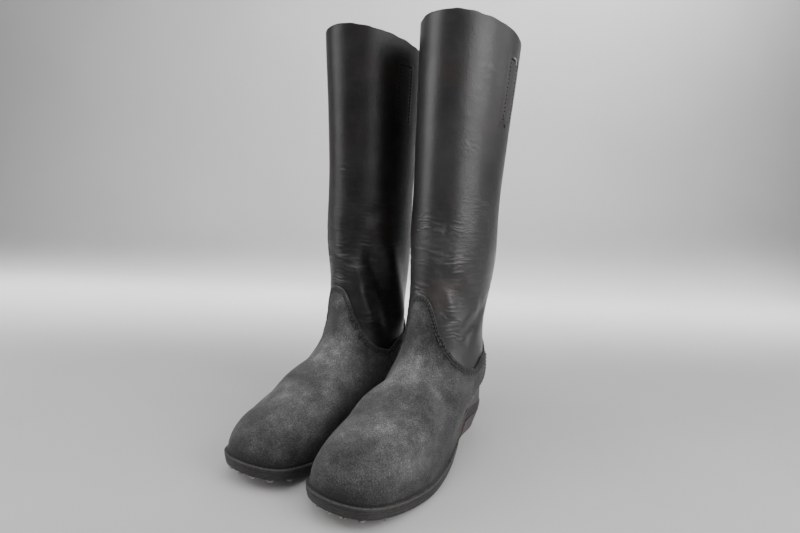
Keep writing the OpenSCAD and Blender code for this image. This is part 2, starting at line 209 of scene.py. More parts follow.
def phi_of(u):
    """Angle from the front in degrees, negative on the outer side."""
    return np.mod(u, 1) * 360 - 180


def u_at(phi):
    return (180 + phi) / 360


def vamp_top(side, u):
    """Height parameter of the vamp's top edge, with its corners eased."""
    turn, taller = TONGUE[side]
    spread = np.linspace(-5, 5, 11)
    weight = np.exp(-(spread / 2.2) ** 2)
    phi = phi_of(np.asarray(u, float))
    near = np.exp(-(phi / 45) ** 4)
    a = np.abs((phi - turn * near)[..., None] + spread)
    a = np.where(a > 180, 360 - a, a)
    top = (np.interp(a, VAMP_TOP[:, 0], VAMP_TOP[:, 1]) * weight).sum(-1) / weight.sum()
    return top + taller * np.clip(top - 1, 0, None) * near


class Stand:
    """Where one boot of the pair stands."""

    def __init__(self, side):
        self.side = side
        self.mirror = 1 if side == "left" else -1
        self.shift = STAGGER / 2 * self.mirror

    def place(self, p):
        p = np.asarray(p, float)
        c, s, pivot = math.cos(TOE_OUT), math.sin(TOE_OUT), MID_Y - 90
        x, y = p[..., 0], MID_Y - p[..., 1]
        world_x = (x * c - (y - pivot) * s + BOOT_GAP / 2) * self.mirror
        world_y = x * s + (y - pivot) * c + pivot + self.shift
        return np.stack([world_x, world_y, p[..., 2]], axis=-1) / 1000


# --- Noise, the same on every run ---

def lattice(ix, iy, iz, seed):
    h = (ix * 374761393 + iy * 668265263 + iz * 1274126177 + seed * 362437) & 0xFFFFFFFF
    h = ((h ^ (h >> 13)) * 1103515245) & 0xFFFFFFFF
    h = ((h ^ (h >> 16)) * 2246822519) & 0xFFFFFFFF
    return ((h ^ (h >> 15)) & 0xFFFF) / 32767.5 - 1


def noise(p, seed=0):
    """Smooth value noise from -1 to 1 at points p."""
    base = np.floor(p)
    f = p - base
    f = f * f * f * (f * (f * 6 - 15) + 10)
    ix, iy, iz = (base[..., k].astype(np.int64) for k in range(3))
    out = 0
    for dx in (0, 1):
        for dy in (0, 1):
            for dz in (0, 1):
                w = (f[..., 0] if dx else 1 - f[..., 0]) * (f[..., 1] if dy else 1 - f[..., 1])
                w = w * (f[..., 2] if dz else 1 - f[..., 2])
                out = out + w * lattice(ix + dx, iy + dy, iz + dz, seed)
    return out


def fbm(p, seed=0, octaves=4):
    out, amp, total = 0, 1.0, 0.0
    for k in range(octaves):
        out = out + amp * noise(p * 2 ** k, seed + 17 * k)
        total += amp
        amp *= 0.5
    return out / total


def smooth(x, lo, hi):
    t = np.clip((x - lo) / (hi - lo), 0, 1)
    return t * t * (3 - 2 * t)


def bump_at(x, centre, width):
    return np.exp(-((x - centre) / width) ** 2)


# --- Relief of the leather: millimetres along the outward normal ---

def patch(phi, z, at, size):
    """Soft spot at (phi, z), size in millimetres."""
    return np.exp(-(((phi - at[0]) * ARC / size[0]) ** 2 + ((z - at[1]) / size[1]) ** 2))


def eased(path, steps=13):
    """A smooth path of steps points through the given points."""
    points = np.array(path, float)
    points = np.vstack([2 * points[0] - points[1], points, 2 * points[-1] - points[-2]])
    t = np.linspace(0, len(path) - 1, steps)
    i = np.minimum(t.astype(int), len(path) - 2)
    return spline(*(points[i + k] for k in range(4)), (t - i)[:, None])


def stroke(phi, z, path, width, depth):
    """Soft ridge (depth above 0) or valley along a path of (phi, z) points."""
    path = eased(path)
    best = np.full(np.shape(phi), 1e9)
    along = np.zeros(np.shape(phi))
    lengths = [math.hypot((b[0] - a[0]) * ARC, b[1] - a[1]) for a, b in zip(path, path[1:])]
    total, run = sum(lengths), 0.0
    for a, b, length in zip(path, path[1:], lengths):
        ax, az, bx, bz = a[0] * ARC, a[1], b[0] * ARC, b[1]
        t = ((phi * ARC - ax) * (bx - ax) + (z - az) * (bz - az)) / length ** 2
        t = np.clip(t, 0, 1)
        d = np.hypot(phi * ARC - ax - t * (bx - ax), z - az - t * (bz - az))
        nearer = d < best
        best = np.where(nearer, d, best)
        along = np.where(nearer, (run + t * length) / total, along)
        run += length
    fade = smooth(along, 0.0, 0.3) * (1 - smooth(along, 0.7, 1.0))
    return depth * np.exp(-(best / width) ** 2) * fade


# Fine wrinkles: (phi, z), (half width, half height), strength
WRINKLES = {
    "left": [
        ((13, 277), (13, 9), 0.9), ((-22, 272), (20, 9), 0.5), ((-16, 242), (15, 10), 0.75),
        ((-30, 233), (18, 11), 1.0), ((-46, 221), (15, 11), 0.8), ((8, 200), (22, 7), 0.85),
        ((-30, 176), (16, 11), 0.8), ((-40, 162), (16, 12), 0.9), ((-50, 150), (12, 9), 0.7),
        ((-46, 359), (12, 6), 0.9), ((-62, 300), (18, 10), 0.3), ((40, 240), (22, 26), 0.4),
        ((-57, 432), (15, 24), 0.3), ((-40, 392), (12, 16), 0.15),
        ((70, 175), (26, 18), 0.5), ((150, 200), (24, 26), 0.5), ((-120, 196), (20, 18), 0.5),
    ],
    "right": [
        ((6, 232), (12, 8), 0.8), ((24, 216), (14, 9), 0.8), ((8, 330), (12, 8), 0.4),
        ((-4, 199), (20, 7), 0.7), ((-34, 236), (26, 18), 0.6), ((-40, 165), (24, 14), 0.6),
        ((50, 152), (10, 9), 0.6), ((42, 240), (14, 12), 0.3), ((-150, 200), (26, 24), 0.5),
    ],
}

# Broad folds: path of (phi, z), half width, height
FOLDS = {
    "left": [
        (((-52, 128), (-66, 150), (-88, 162), (-118, 176)), 10, -3.6),
        (((-48, 156), (-70, 172), (-92, 184)), 11, 2.2),
        (((-30, 206), (-38, 190), (-46, 172), (-56, 150)), 10, 1.5),
        (((4, 262), (-22, 246), (-46, 228), (-66, 200)), 12, 1.6),
        (((-2, 240), (-22, 222), (-44, 202), (-58, 180)), 10, -1.6),
        (((52, 262), (62, 205), (72, 165), (76, 138)), 12, -4.5),
        (((78, 238), (88, 190), (94, 150)), 12, 2.4),
        (((160, 225), (178, 195), (198, 180)), 12, -2.0),
    ],
    "right": [
        (((38, 268), (46, 232), (58, 200), (72, 168), (78, 142), (62, 112)), 16, -6.0),
        (((60, 262), (80, 212), (96, 176), (106, 150), (102, 124), (90, 98)), 15, 5.0),
        (((28, 196), (44, 164), (54, 138)), 10, 2.4),
        (((-12, 250), (6, 233), (22, 217), (42, 192)), 9, 2.4),
        (((2, 256), (20, 268), (44, 278), (72, 278)), 11, -2.2),
        (((-40, 140), (-62, 154), (-84, 164), (-112, 172)), 10, -3.4),
        (((-160, 225), (-178, 195), (-198, 180)), 12, -2.0),
    ],
}


def strap_box(phi, z, name):
    """1 where a tab lies behind the leather, 0 away from it."""
    across = np.abs((phi - strap_phi(name)) * STRAP_ARC) - TAPE_W / 2
    away = np.abs(z - STRAP_TOP_Z + TAB_L / 2) - TAB_L / 2
    return (1 - smooth(across, -1, 2.5)) * (1 - smooth(away, -1, 2.5))


def strap_mark(phi, z, name):
    """Raised rectangle and stitch grooves where a tab is sewn behind the leather."""
    across = (phi - strap_phi(name)) * STRAP_ARC
    half_w, mid, half_h = TAPE_W / 2, STRAP_TOP_Z - TAB_L / 2, TAB_L / 2
    edge_x = bump_at(np.abs(across), half_w - 2, 0.9) * (np.abs(z - mid) < half_h - 1)
    edge_z = bump_at(z, STRAP_TOP_Z - 2, 0.9) * (np.abs(across) < half_w - 1)
    return 0.7 * strap_box(phi, z, name) - 0.75 * np.maximum(edge_x, edge_z)


def strap_phi(name):
    y_back, y_front = LEG[4][2], LEG[4][3]
    c = (STRAP_Y[name] - (y_back + y_front) / 2) / ((y_front - y_back) / 2)
    turn = math.degrees(math.acos(-c))
    return turn - 180 if name == "outer" else 180 - turn


def broad_relief(side, u, s, p):
    """The shape the shaft has taken: soft waves and folds, on both faces of the leather."""
    phi, z = phi_of(u), p[..., 2]
    out = 0.8 * fbm(p / (60, 60, 130), seed=3 + 40 * (side == "right"), octaves=3)
    for path, width, height in FOLDS[side]:
        out = out + stroke(phi, z, path, width, height)
        if any(abs(a[0]) > 150 for a in path):  # it runs over the back, where phi jumps
            turn = 360 if path[0][0] > 0 else -360
            out = out + stroke(phi + turn, z, path, width, height)
    return out * smooth(z, 108, 150)


def wrinkle_lines(side, p):
    """Fine wavy creases that run across the leg: 1 in a crease, below 0 on the ridges."""
    seed = 71 if side == "left" else 91
    warp = 3.0 * fbm(p / (17, 17, 11), seed, 2)
    level = (p[..., 2] + warp) / 1.9
    q = np.stack([p[..., 0] / 15, p[..., 1] / 15, level], axis=-1)
    return np.clip(1 - np.abs(noise(q, seed + 5)) * 2.6, -0.7, 1)


def wrinkle_mask(side, phi, z, p):
    mask = sum(k * patch(phi, z, at, size) for at, size, k in WRINKLES[side])
    ankle = 0.10 * smooth(z, 120, 150) * (1 - smooth(z, 250, 330))
    patchy = 0.65 + 0.5 * fbm(p / (9, 9, 7), 23, 2)
    return np.clip((mask + ankle) * patchy + 0.02, 0, 1)


def shaft_relief(side, u, s, p):
    phi, z = phi_of(u), p[..., 2]
    wrinkles = -0.8 * (wrinkle_lines(side, p) - 0.2) * wrinkle_mask(side, phi, z, p)
    out = broad_relief(side, u, s, p) + wrinkles
    out = out + strap_mark(phi, z, "outer") + strap_mark(phi, z, "inner")
    return out + 0.06 * fbm(p / 4.0, 11, 2)


def stitch_rows(distance, travel, rows, pitch, depth):
    """Grooves pulled in by rows of stitches, at distances from an edge."""
    pull = 0.55 + 0.45 * np.cos(2 * np.pi * travel / pitch)
    return sum(-depth * bump_at(distance, row, 1.0) * pull for row in rows)


VAMP_ROWS, VAMP_PITCH = (2.6, 5.9), 4.4
COUNTER_ROWS, COUNTER_PITCH = (2.4, 4.9), 4.0
COUNTER_ANGLE = 59  # from the back to the counter's front edges, in degrees
COUNTER_TOP, COUNTER_DIP = 134, 17  # height at the back, and how much lower the front corners are
COUNTER_SKIVE = 2.0  # how much the counter is thinned towards its top edge


class Edge:
    """A leather edge on the skin: its points, arc length, and the way into the leather."""

    def __init__(self, u, s, offset):
        self.u, self.s = u, s
        p, n, along, up = skin_frame(u, s)
        p = p + offset * n
        self.travel = np.concatenate([[0], np.cumsum(np.linalg.norm(np.diff(p, axis=0), axis=1))])
        self.tangent = unit(np.gradient(p, axis=0))
        self.into = unit(np.cross(self.tangent, n))
        self.along, self.up = along, up

    def inset(self, travel, distance):
        """(u, s) of points at a distance into the leather, at arc lengths along the edge."""
        pick = [np.interp(travel, self.travel, a) for a in (self.u, self.s)]
        into, along, up = (
            np.stack([np.interp(travel, self.travel, a[:, k]) for k in range(3)], axis=-1)
            for a in (self.into, self.along, self.up)
        )
        d_s = (into * unit(up)).sum(-1) / np.linalg.norm(up, axis=-1)
        d_u = (into * unit(along)).sum(-1) / np.linalg.norm(along, axis=-1)
        return pick[0] + d_u * distance, pick[1] + d_s * distance


def vamp_edge(side):
    u = np.linspace(0, 1, 1441)
    return Edge(u, vamp_top(side, u), VAMP_OUT)


def edge_measures(edge, u, level_mm):
    """Distance from an edge, and arc length along it, for points below it on the same column."""
    order = np.argsort(edge.u)
    slope = np.interp(u, edge.u[order], np.abs(edge.tangent[order, 2]))
    travel = np.interp(u, edge.u[order], edge.travel[order])
    return level_mm * np.sqrt(np.clip(1 - slope ** 2, 0.05, 1)), travel


def vamp_form(side, phi, s, p):
    """A full instep with a small hollow in front of it, fuller flanks beside that hollow, and a
    flatter toe on the right boot's outer side."""
    x, y = p[..., 0], p[..., 1]
    ahead = 1 - smooth(np.abs(phi), 70, 105)
    flank = smooth(np.abs(phi), 14, 34)
    swell = 3.2 * bump_at(y, 163, 19) * (1 - flank)
    if side == "right":
        swell = swell + (2.6 * bump_at(y, 186, 18) - 2.0 * bump_at(y, 157, 9)) * flank
    else:
        swell = swell + (4.4 * bump_at(y, 187, 27) - 3.0 * bump_at(y, 150, 11)) * flank
    out = swell * smooth(s, 0.25, 0.55) * (1 - smooth(s, 0.8, 0.97)) * ahead
    out = out - 2.4 * bump_at(x, 9, 15) * bump_at(y, 194, 11) * smooth(s, 0.3, 0.5)
    if side == "right":
        out = out - 4.5 * bump_at(y, 236, 26) * smooth(s, 0.12, 0.45) * smooth(-phi, -10, 30)
    return out


def vamp_relief(side, edge, u, s, p):
    phi, y = phi_of(u), p[..., 1]
    below = np.linalg.norm(skin(u, vamp_top(side, u)) - p, axis=-1)
    distance, travel = edge_measures(edge, u, below)
    seed = 131 if side == "left" else 151
    out = 0.9 * fbm(p / (42, 34, 30), seed, 3) * smooth(y, 60, 120)
    out = out + 0.16 * fbm(p / 5.0, seed + 3, 3) + vamp_form(side, phi, s, p)
    crease = noise(np.stack([p[..., 0] / 26, y / 3.6, p[..., 2] / 26], axis=-1), seed + 9)
    out = out + 0.25 * crease * bump_at(y, 196, 18) * smooth(s, 0.1, 0.4)
    out = out + stitch_rows(distance, travel, VAMP_ROWS, VAMP_PITCH, 0.9)
    # The vamp's edge rides on the shaft, and the leather drops in just above the welt.
    under = broad_relief(side, u, s, p) * (1 - smooth(distance, 0, 22))
    return out * smooth(s, 0.0, 0.06) + under - 0.35 * (1 - smooth(distance, 0, 1.2))


def counter_relief(side, p, distance, travel):
    seed = 171 if side == "left" else 191
    out = 0.35 * fbm(p / (30, 30, 24), seed, 3) + 0.08 * fbm(p / 4.0, seed + 3, 2)
    out = out + stitch_rows(distance, travel, COUNTER_ROWS, COUNTER_PITCH, 0.45)
    return out - 0.3 * (1 - smooth(distance, 0, 1.2))


def no_relief(u, s, p):
    return 0 * s


# --- Meshes ---

def make_mesh(name, vertices, faces, parts=None):
    mesh = bpy.data.meshes.new(name)
    mesh.from_pydata(np.asarray(vertices).tolist(), [], faces)
    mesh.validate()
    mesh.update()
    mesh.polygons.foreach_set("use_smooth", np.ones(len(mesh.polygons), bool))
    if parts is not None and len(parts) == len(mesh.polygons):
        mesh.polygons.foreach_set("material_index", parts)
    piece = bpy.data.objects.new(name, mesh)
    bpy.context.scene.collection.objects.link(piece)
    return piece


def turn_outward(piece):
    """Flips the faces if the closed mesh is inside out."""
    mesh = piece.data
    mesh.calc_loop_triangles()
    count = len(mesh.loop_triangles)
    corners = np.empty(count * 3, np.int32)
    mesh.loop_triangles.foreach_get("vertices", corners)
    co = np.empty(len(mesh.vertices) * 3)
    mesh.vertices.foreach_get("co", co)
    t = co.reshape(-1, 3)[corners.reshape(-1, 3)]
    if np.einsum("ij,ij->", t[:, 0], np.cross(t[:, 1], t[:, 2])) < 0:
        mesh.flip_normals()


def loft_faces(n, m, closed_n, closed_m):
    """Quads over n sections of m points, with the section index of each quad's first point."""
    i = np.arange(n if closed_n else n - 1)
    j = np.arange(m if closed_m else m - 1)
    i, j = (a.ravel() for a in np.meshgrid(i, j, indexing="ij"))
    a, b = i * m + j, i * m + (j + 1) % m
    c, d = (i + 1) % n * m + (j + 1) % m, (i + 1) % n * m + j
    return np.stack([a, d, c, b], axis=1), i, j


def end_caps(n, m):
    """Caps over the first and last section, whose point j faces point m - 1 - j."""
    caps = []
    for base in (0, (n - 1) * m):
        for j in range(m // 2 - 1):
            quad = [base + j, base + j + 1, base + m - 2 - j, base + m - 1 - j]
            caps.append(quad if base == 0 else quad[::-1])
    return caps


def round_faces(n, sides):
    """Faces round n rings, and over both ends."""
    quads, _, _ = loft_faces(n, sides, False, True)
    return quads.tolist() + [list(range(sides))[::-1], [(n - 1) * sides + k for k in range(sides)]]


def loft(name, stand, sections, closed=False, part_of=None):
    """A closed mesh through sections, an array of n by m boot-frame points."""
    n, m = sections.shape[:2]
    quads, i, j = loft_faces(n, m, closed, True)
    faces = quads.tolist()
    parts = (part_of(i, j) if part_of else np.zeros(len(i), int)).tolist()
    if not closed:
        caps = end_caps(n, m)
        faces += caps
        parts += [parts[0]] * len(caps)
    piece = make_mesh(name, stand.place(sections.reshape(-1, 3)), faces, parts=parts)
    turn_outward(piece)
    return piece


def set_tone(piece, values):
    """Stores one value a vertex, which the materials read."""
    attribute = piece.data.attributes.new("tone", "FLOAT", "POINT")
    attribute.data.foreach_set("value", np.asarray(values, np.float32).ravel())


def wall_sections(u, levels, outside, inside, relief, inner_relief, lip_steps=5, inner_skip=3):
    """Sections of a leather wall: up the outside, over a rounded edge, down the inside.

    u has shape (n,), levels (n, m). relief and inner_relief take (u, s, p) and give mm.
    Returns the sections and the s value of each section point.
    """
    u2 = np.broadcast_to(u[:, None], levels.shape)
    p, n, _, up = skin_frame(u2, levels)
    outer = p + n * (outside + relief(u2, levels, p))[..., None]
    pick = np.unique(np.concatenate([np.arange(levels.shape[1] - 1, -1, -inner_skip), [0]]))[::-1]
    inner = p[:, pick] + n[:, pick] * (inside + inner_relief(u2, levels, p)[:, pick])[..., None]
    a = outer[:, -1]
    b = inner[:, 0]
    centre, reach = (a + b) / 2, (a - b) / 2
    rise = unit(up[:, -1]) * np.linalg.norm(reach, axis=-1, keepdims=True)
    turn = np.linspace(0, np.pi, lip_steps + 2)[1:-1]
    lip = np.stack([centre + reach * np.cos(t) + rise * 0.8 * np.sin(t) for t in turn], axis=1)
    sections = np.concatenate([outer, lip, inner], axis=1)
    s_of = np.concatenate([
        levels, np.repeat(levels[:, -1:], lip_steps, axis=1), levels[:, pick]
    ], axis=1)
    return sections, s_of


def spaced(lo, hi, count):
    """Levels from lo to hi for every column; lo and hi may be arrays."""
    lo, hi = np.broadcast_arrays(np.asarray(lo, float), np.asarray(hi, float))
    return lo[:, None] + (hi - lo)[:, None] * np.linspace(0, 1, count)[None, :]


def thread_capsule(a, b, normal, radius, sides=6, rings=6):
    """Vertices and faces of a short bowed stitch from a to b."""
    axis = unit(b - a)
    cross = unit(np.cross(axis, normal))
    lift = np.cross(cross, axis)
    vertices, faces = [], []
    for k in range(rings + 1):
        t = k / rings
        arch = math.sin(math.pi * t)
        centre = a + (b - a) * t + lift * radius * (0.9 * arch - 0.75)
        r = radius * max(0.35, arch) ** 0.5
        for j in range(sides):
            w = 2 * math.pi * j / sides
            vertices.append(centre + (cross * math.cos(w) + lift * math.sin(w)) * r)
    for k in range(rings):
        for j in range(sides):
            q = (j + 1) % sides
            faces.append([k * sides + j, k * sides + q, (k + 1) * sides + q, (k + 1) * sides + j])
    faces.append(list(range(sides))[::-1])
    faces.append([rings * sides + j for j in range(sides)])
    return vertices, faces


def stitches(name, stand, starts, ends, normals, radius):
    """One mesh of stitches between boot-frame points."""
    vertices, faces = [], []
    for a, b, n in zip(starts, ends, normals):
        v, f = thread_capsule(a, b, n, radius)
        base = len(vertices)
        vertices += v
        faces += [[base + k for k in face] for face in f]
    piece = make_mesh(name, stand.place(np.array(vertices)), faces)
    turn_outward(piece)
    return piece


# --- Materials ---

MIX_SOCKETS = (0, 6, 7)  # a Mix node's factor and its two colours


class Look:
    """A material being built, with short calls for the nodes it needs."""

    def __init__(self, name):
        self.material = bpy.data.materials.new(name)
        self.material.use_nodes = True
        self.tree = self.material.node_tree
        self.shader = self.tree.nodes["Principled BSDF"]
        self.coordinates = self.tree.nodes.new("ShaderNodeTexCoord").outputs["Object"]

    def set(self, **values):
        for key, value in values.items():
            self.shader.inputs[key.replace("_", " ")].default_value = value
        return self

    def link(self, output, socket):
        self.tree.links.new(output, self.shader.inputs[socket])

    def node(self, kind, **inputs):
        node = self.tree.nodes.new("ShaderNode" + kind)
        for key, value in inputs.items():
            node.inputs[key].default_value = value
        return node

    def plug(self, value, socket):
        """Sets a socket to a number or an RGB colour, or links an output to it."""
        if isinstance(value, (int, float)):
            socket.default_value = value
        elif isinstance(value, tuple):
            socket.default_value = (*value, 1)
        else:
            self.tree.links.new(value, socket)

    def stretched(self, scale):
        node = self.node("Mapping", Scale=scale)
        self.plug(self.coordinates, node.inputs["Vector"])
        return node.outputs["Vector"]

    def noise(self, scale, detail=3, roughness=0.55, vector=None):
        node = self.node("TexNoise", Scale=scale, Detail=detail, Roughness=roughness)
        self.plug(vector or self.coordinates, node.inputs["Vector"])
        return node.outputs["Fac"]

    def cells(self, scale, feature="F1", smoothness=None):
        node = self.node("TexVoronoi", Scale=scale)
        node.feature = feature
        if smoothness is not None:
            node.inputs["Smoothness"].default_value = smoothness
        self.plug(self.coordinates, node.inputs["Vector"])
        return node.outputs["Distance"]

    def tone(self):
        """The vertex values that set_tone stored."""
        node = self.node("Attribute")
        node.attribute_name = "tone"
        return node.outputs["Fac"]

    def ramp(self, factor, stops):
        node = self.node("ValToRGB")
        elements = node.color_ramp.elements
        while len(elements) < len(stops):
            elements.new(0.5)
        for element, (place, colour) in zip(elements, stops):
            element.position = place
            element.color = (*colour, 1)
        self.plug(factor, node.inputs["Fac"])
        return node.outputs["Color"]

    def mix(self, factor, a, b, blend="MIX"):
        node = self.node("Mix")
        node.data_type = "RGBA"
        node.blend_type = blend
        for k, value in zip(MIX_SOCKETS, (factor, a, b)):
            self.plug(value, node.inputs[k])
        return node.outputs[2]

    def maths(self, operation, *values):
        node = self.node("Math")
        node.operation = operation
        for k, value in enumerate(values):
            self.plug(value, node.inputs[k])
        return node.outputs[0]

    def sum(self, first, *others):
        for other in others:
            first = self.maths("ADD", first, other)
        return first

    def spread(self, value, lo, hi):
        """Turns 0..1 into lo..hi."""
        return self.maths("MULTIPLY_ADD", value, hi - lo, lo)

    def bump(self, height, distance, strength=1.0, after=None):
        node = self.node("Bump", Distance=distance, Strength=strength)
        self.plug(height, node.inputs["Height"])
        if after is not None:
            self.plug(after, node.inputs["Normal"])
        return node.outputs["Normal"]


def smooth_leather(name, dark=(0.0075, 0.0072, 0.0082), warm=(0.022, 0.0135, 0.0105), base_rough=0.4,
                   specular=0.5):
    """Black grain leather, polished long ago: fine pebble grain and faint brown tints."""
    look = Look(name)
    tint = look.ramp(look.noise(13, 3, 0.5), [(0.5, dark), (0.74, warm)])
    haze = look.ramp(look.noise(34, 4, 0.6), [(0.42, (0, 0, 0)), (0.8, (0.010, 0.010, 0.011))])
    colour = look.mix(1.0, tint, haze, "ADD")
    # The tone makes the leather paler: painted highlight and sheen on the shafts, an even or random paler
    # tone on the back strip and counter
    rubbed = look.tone()
    colour = look.mix(rubbed, colour, (0.125, 0.118, 0.118))
    look.link(colour, "Base Color")
    rough = look.maths("ADD", look.spread(look.noise(22, 4, 0.6), base_rough - 0.1, base_rough + 0.12),
                       look.spread(look.noise(600, 2), -0.05, 0.05))
    look.link(rough, "Roughness")
    grain = look.cells(820, "SMOOTH_F1", 0.4)
    pores = look.noise(1700, 2, 0.6)
    folds = look.noise(260, 3, 0.6, look.stretched((1, 1, 1.9)))
    normal = look.bump(folds, 0.00035, 0.35)
    normal = look.bump(grain, 0.00022, 0.42, normal)
    look.link(look.bump(pores, 0.00008, 0.35, normal), "Normal")
    return look.set(Specular_IOR_Level=specular).material


def rough_leather(name):
    """Rough-out leather, dyed black and rubbed grey in lint flecks: matte nap with speckle, paler and
    darker where the tone paints highlight and shade.
    """
    look = Look(name)
    tone = look.tone()
    broad = look.noise(24, 5, 0.62)
    cloud = look.noise(85, 4, 0.6)
    speck = look.noise(760, 3, 0.75)
    fine = look.noise(1500, 2, 0.7)
    # The tone term is painted highlight and shade on the nap
    level = look.sum(
        look.spread(broad, -0.42, 0.42), look.spread(cloud, -0.26, 0.26),
        look.spread(speck, -0.6, 0.6), look.spread(fine, -0.3, 0.3), look.spread(tone, 0.13, 0.63),
    )
    colour = look.ramp(level, [
        (0.08, (0.012, 0.0117, 0.0125)), (0.42, (0.050, 0.048, 0.050)),
        (0.66, (0.100, 0.097, 0.099)), (0.95, (0.27, 0.265, 0.265)),
    ])
    lint = look.ramp(look.cells(300), [(0.04, (1, 1, 1)), (0.09, (0, 0, 0))])
    lint = look.maths("MULTIPLY", lint, look.spread(broad, -0.35, 1.5))
    colour = look.mix(look.maths("MULTIPLY", lint, 0.8), colour, (0.42, 0.42, 0.42))
    look.link(colour, "Base Color")
    look.link(look.spread(cloud, 0.72, 0.95), "Roughness")
    normal = look.bump(speck, 0.0010, 0.6)
    look.link(look.bump(fine, 0.0004, 0.6, normal), "Normal")
    return look.set(Specular_IOR_Level=0.25, Sheen_Weight=0.12, Sheen_Roughness=0.5).material


def sole_leather(name, worn=(0.031, 0.029, 0.028), dark=(0.009, 0.0085, 0.0085), stretch=6.0):
    """Dressed leather edge: satin, with streaks along the layers."""
    look = Look(name)
    streaks = look.noise(170, 4, 0.65, look.stretched((1, 1, stretch)))
    blots = look.noise(40, 4, 0.6)
    level = look.maths("ADD", look.spread(streaks, -0.35, 1.0), look.spread(blots, -0.12, 0.32))
    # The tone makes the edge paler: painted highlight along the welt's top, a random paler tone elsewhere
    level = look.maths("ADD", level, look.maths("MULTIPLY", look.tone(), 0.5))
    look.link(look.ramp(level, [(0.25, dark), (0.62, worn), (1.0, (0.07, 0.066, 0.063))]), "Base Color")
    look.link(look.spread(blots, 0.42, 0.7), "Roughness")
    normal = look.bump(streaks, 0.0006, 0.5)
    look.link(look.bump(look.noise(900, 3, 0.7), 0.0002, 0.5, normal), "Normal")
    return look.set(Specular_IOR_Level=0.4).material


def heel_leather(name):
    """Stacked heel leather, black dressing worn off to red-brown where tone is high."""
    look = Look(name)
    streaks = look.noise(150, 4, 0.65, look.stretched((1, 1, 7)))
    dark = look.ramp(streaks, [(0.3, (0.028, 0.022, 0.024)), (0.75, (0.075, 0.062, 0.066))])
    brown = look.ramp(look.noise(120, 4, 0.7), [(0.3, (0.05, 0.027, 0.021)), (0.75, (0.20, 0.115, 0.092))])
    worn = look.maths("MULTIPLY", look.tone(), look.spread(look.noise(90, 3), 0.5, 1.4))
    look.link(look.mix(worn, dark, brown), "Base Color")
    look.link(look.spread(look.noise(60, 3), 0.4, 0.7), "Roughness")
    normal = look.bump(streaks, 0.0005, 0.5)
    look.link(look.bump(look.noise(800, 2), 0.0002, 0.4, normal), "Normal")
    return look.material


def natural_leather(name, light=(0.30, 0.19, 0.105), dark=(0.12, 0.07, 0.04)):
    """Undyed leather, darkened by use."""
    look = Look(name)
    level = look.sum(look.spread(look.noise(36, 5, 0.65), 0, 0.8),
                     look.spread(look.noise(500, 3), -0.1, 0.3))
    look.link(look.ramp(level, [(0.25, dark), (0.75, light)]), "Base Color")
    look.link(look.spread(look.noise(50, 3), 0.6, 0.85), "Roughness")
    look.link(look.bump(look.noise(700, 4, 0.7), 0.0003, 0.5), "Normal")
    return look.set(Specular_IOR_Level=0.3).material


def cork(name):
    look = Look(name)
    grains = look.cells(420)
    look.link(look.ramp(grains, [(0.1, (0.10, 0.055, 0.03)), (0.6, (0.36, 0.23, 0.13))]), "Base Color")
    look.link(look.spread(grains, 0.8, 0.95), "Roughness")
    look.link(look.bump(grains, 0.0004, 0.6), "Normal")
    return look.material


def steel(name, bright=(0.55, 0.54, 0.52), dull=(0.12, 0.105, 0.095), wear=0.5):
    """Worn steel: scratched bright where it rubs, dark and slightly rusty where it doesn't."""
    look = Look(name)
    scratches = look.noise(420, 4, 0.7, look.stretched((1, 0.15, 1)))
    patches = look.noise(160, 4, 0.65)
    level = look.sum(look.maths("MULTIPLY", scratches, 0.5),
                     look.spread(patches, wear - 0.5, wear + 0.2))
    look.link(look.ramp(level, [(0.35, dull), (0.75, bright)]), "Base Color")
    look.link(look.spread(patches, 0.25, 0.6), "Roughness")
    look.link(look.bump(scratches, 0.0001, 0.5), "Normal")
    return look.set(Metallic=1.0).material


def thread(name, colour=(0.014, 0.0135, 0.014), light=(0.055, 0.053, 0.053), specular=0.5):
    """Waxed linen thread with a fine twist."""
    look = Look(name)
    twist = look.noise(2600, 2, 0.6, look.stretched((1, 1, 0.4)))
    look.link(look.ramp(twist, [(0.3, colour), (0.8, light)]), "Base Color")
    look.link(look.spread(twist, 0.45, 0.7), "Roughness")
    look.link(look.bump(twist, 0.0002, 0.6), "Normal")
    return look.set(Specular_IOR_Level=specular).material


def woven_tape(name):
    """Herringbone cotton tape, off-white gone grey-brown."""
    look = Look(name)
    node = look.node("TexWave", Scale=420, Distortion=1.5)
    look.plug(look.stretched((0.2, 1, 0.75)), node.inputs["Vector"])
    weave = node.outputs["Fac"]
    dirt = look.noise(60, 4, 0.6)
    level = look.maths("ADD", look.spread(weave, 0.1, 0.5), look.spread(dirt, -0.1, 0.5))
    look.link(look.ramp(level, [(0.2, (0.11, 0.10, 0.08)), (0.8, (0.36, 0.33, 0.27))]), "Base Color")
    look.link(look.spread(dirt, 0.8, 0.95), "Roughness")
    look.link(look.bump(weave, 0.0003, 0.6), "Normal")
    return look.set(Specular_IOR_Level=0.2).material


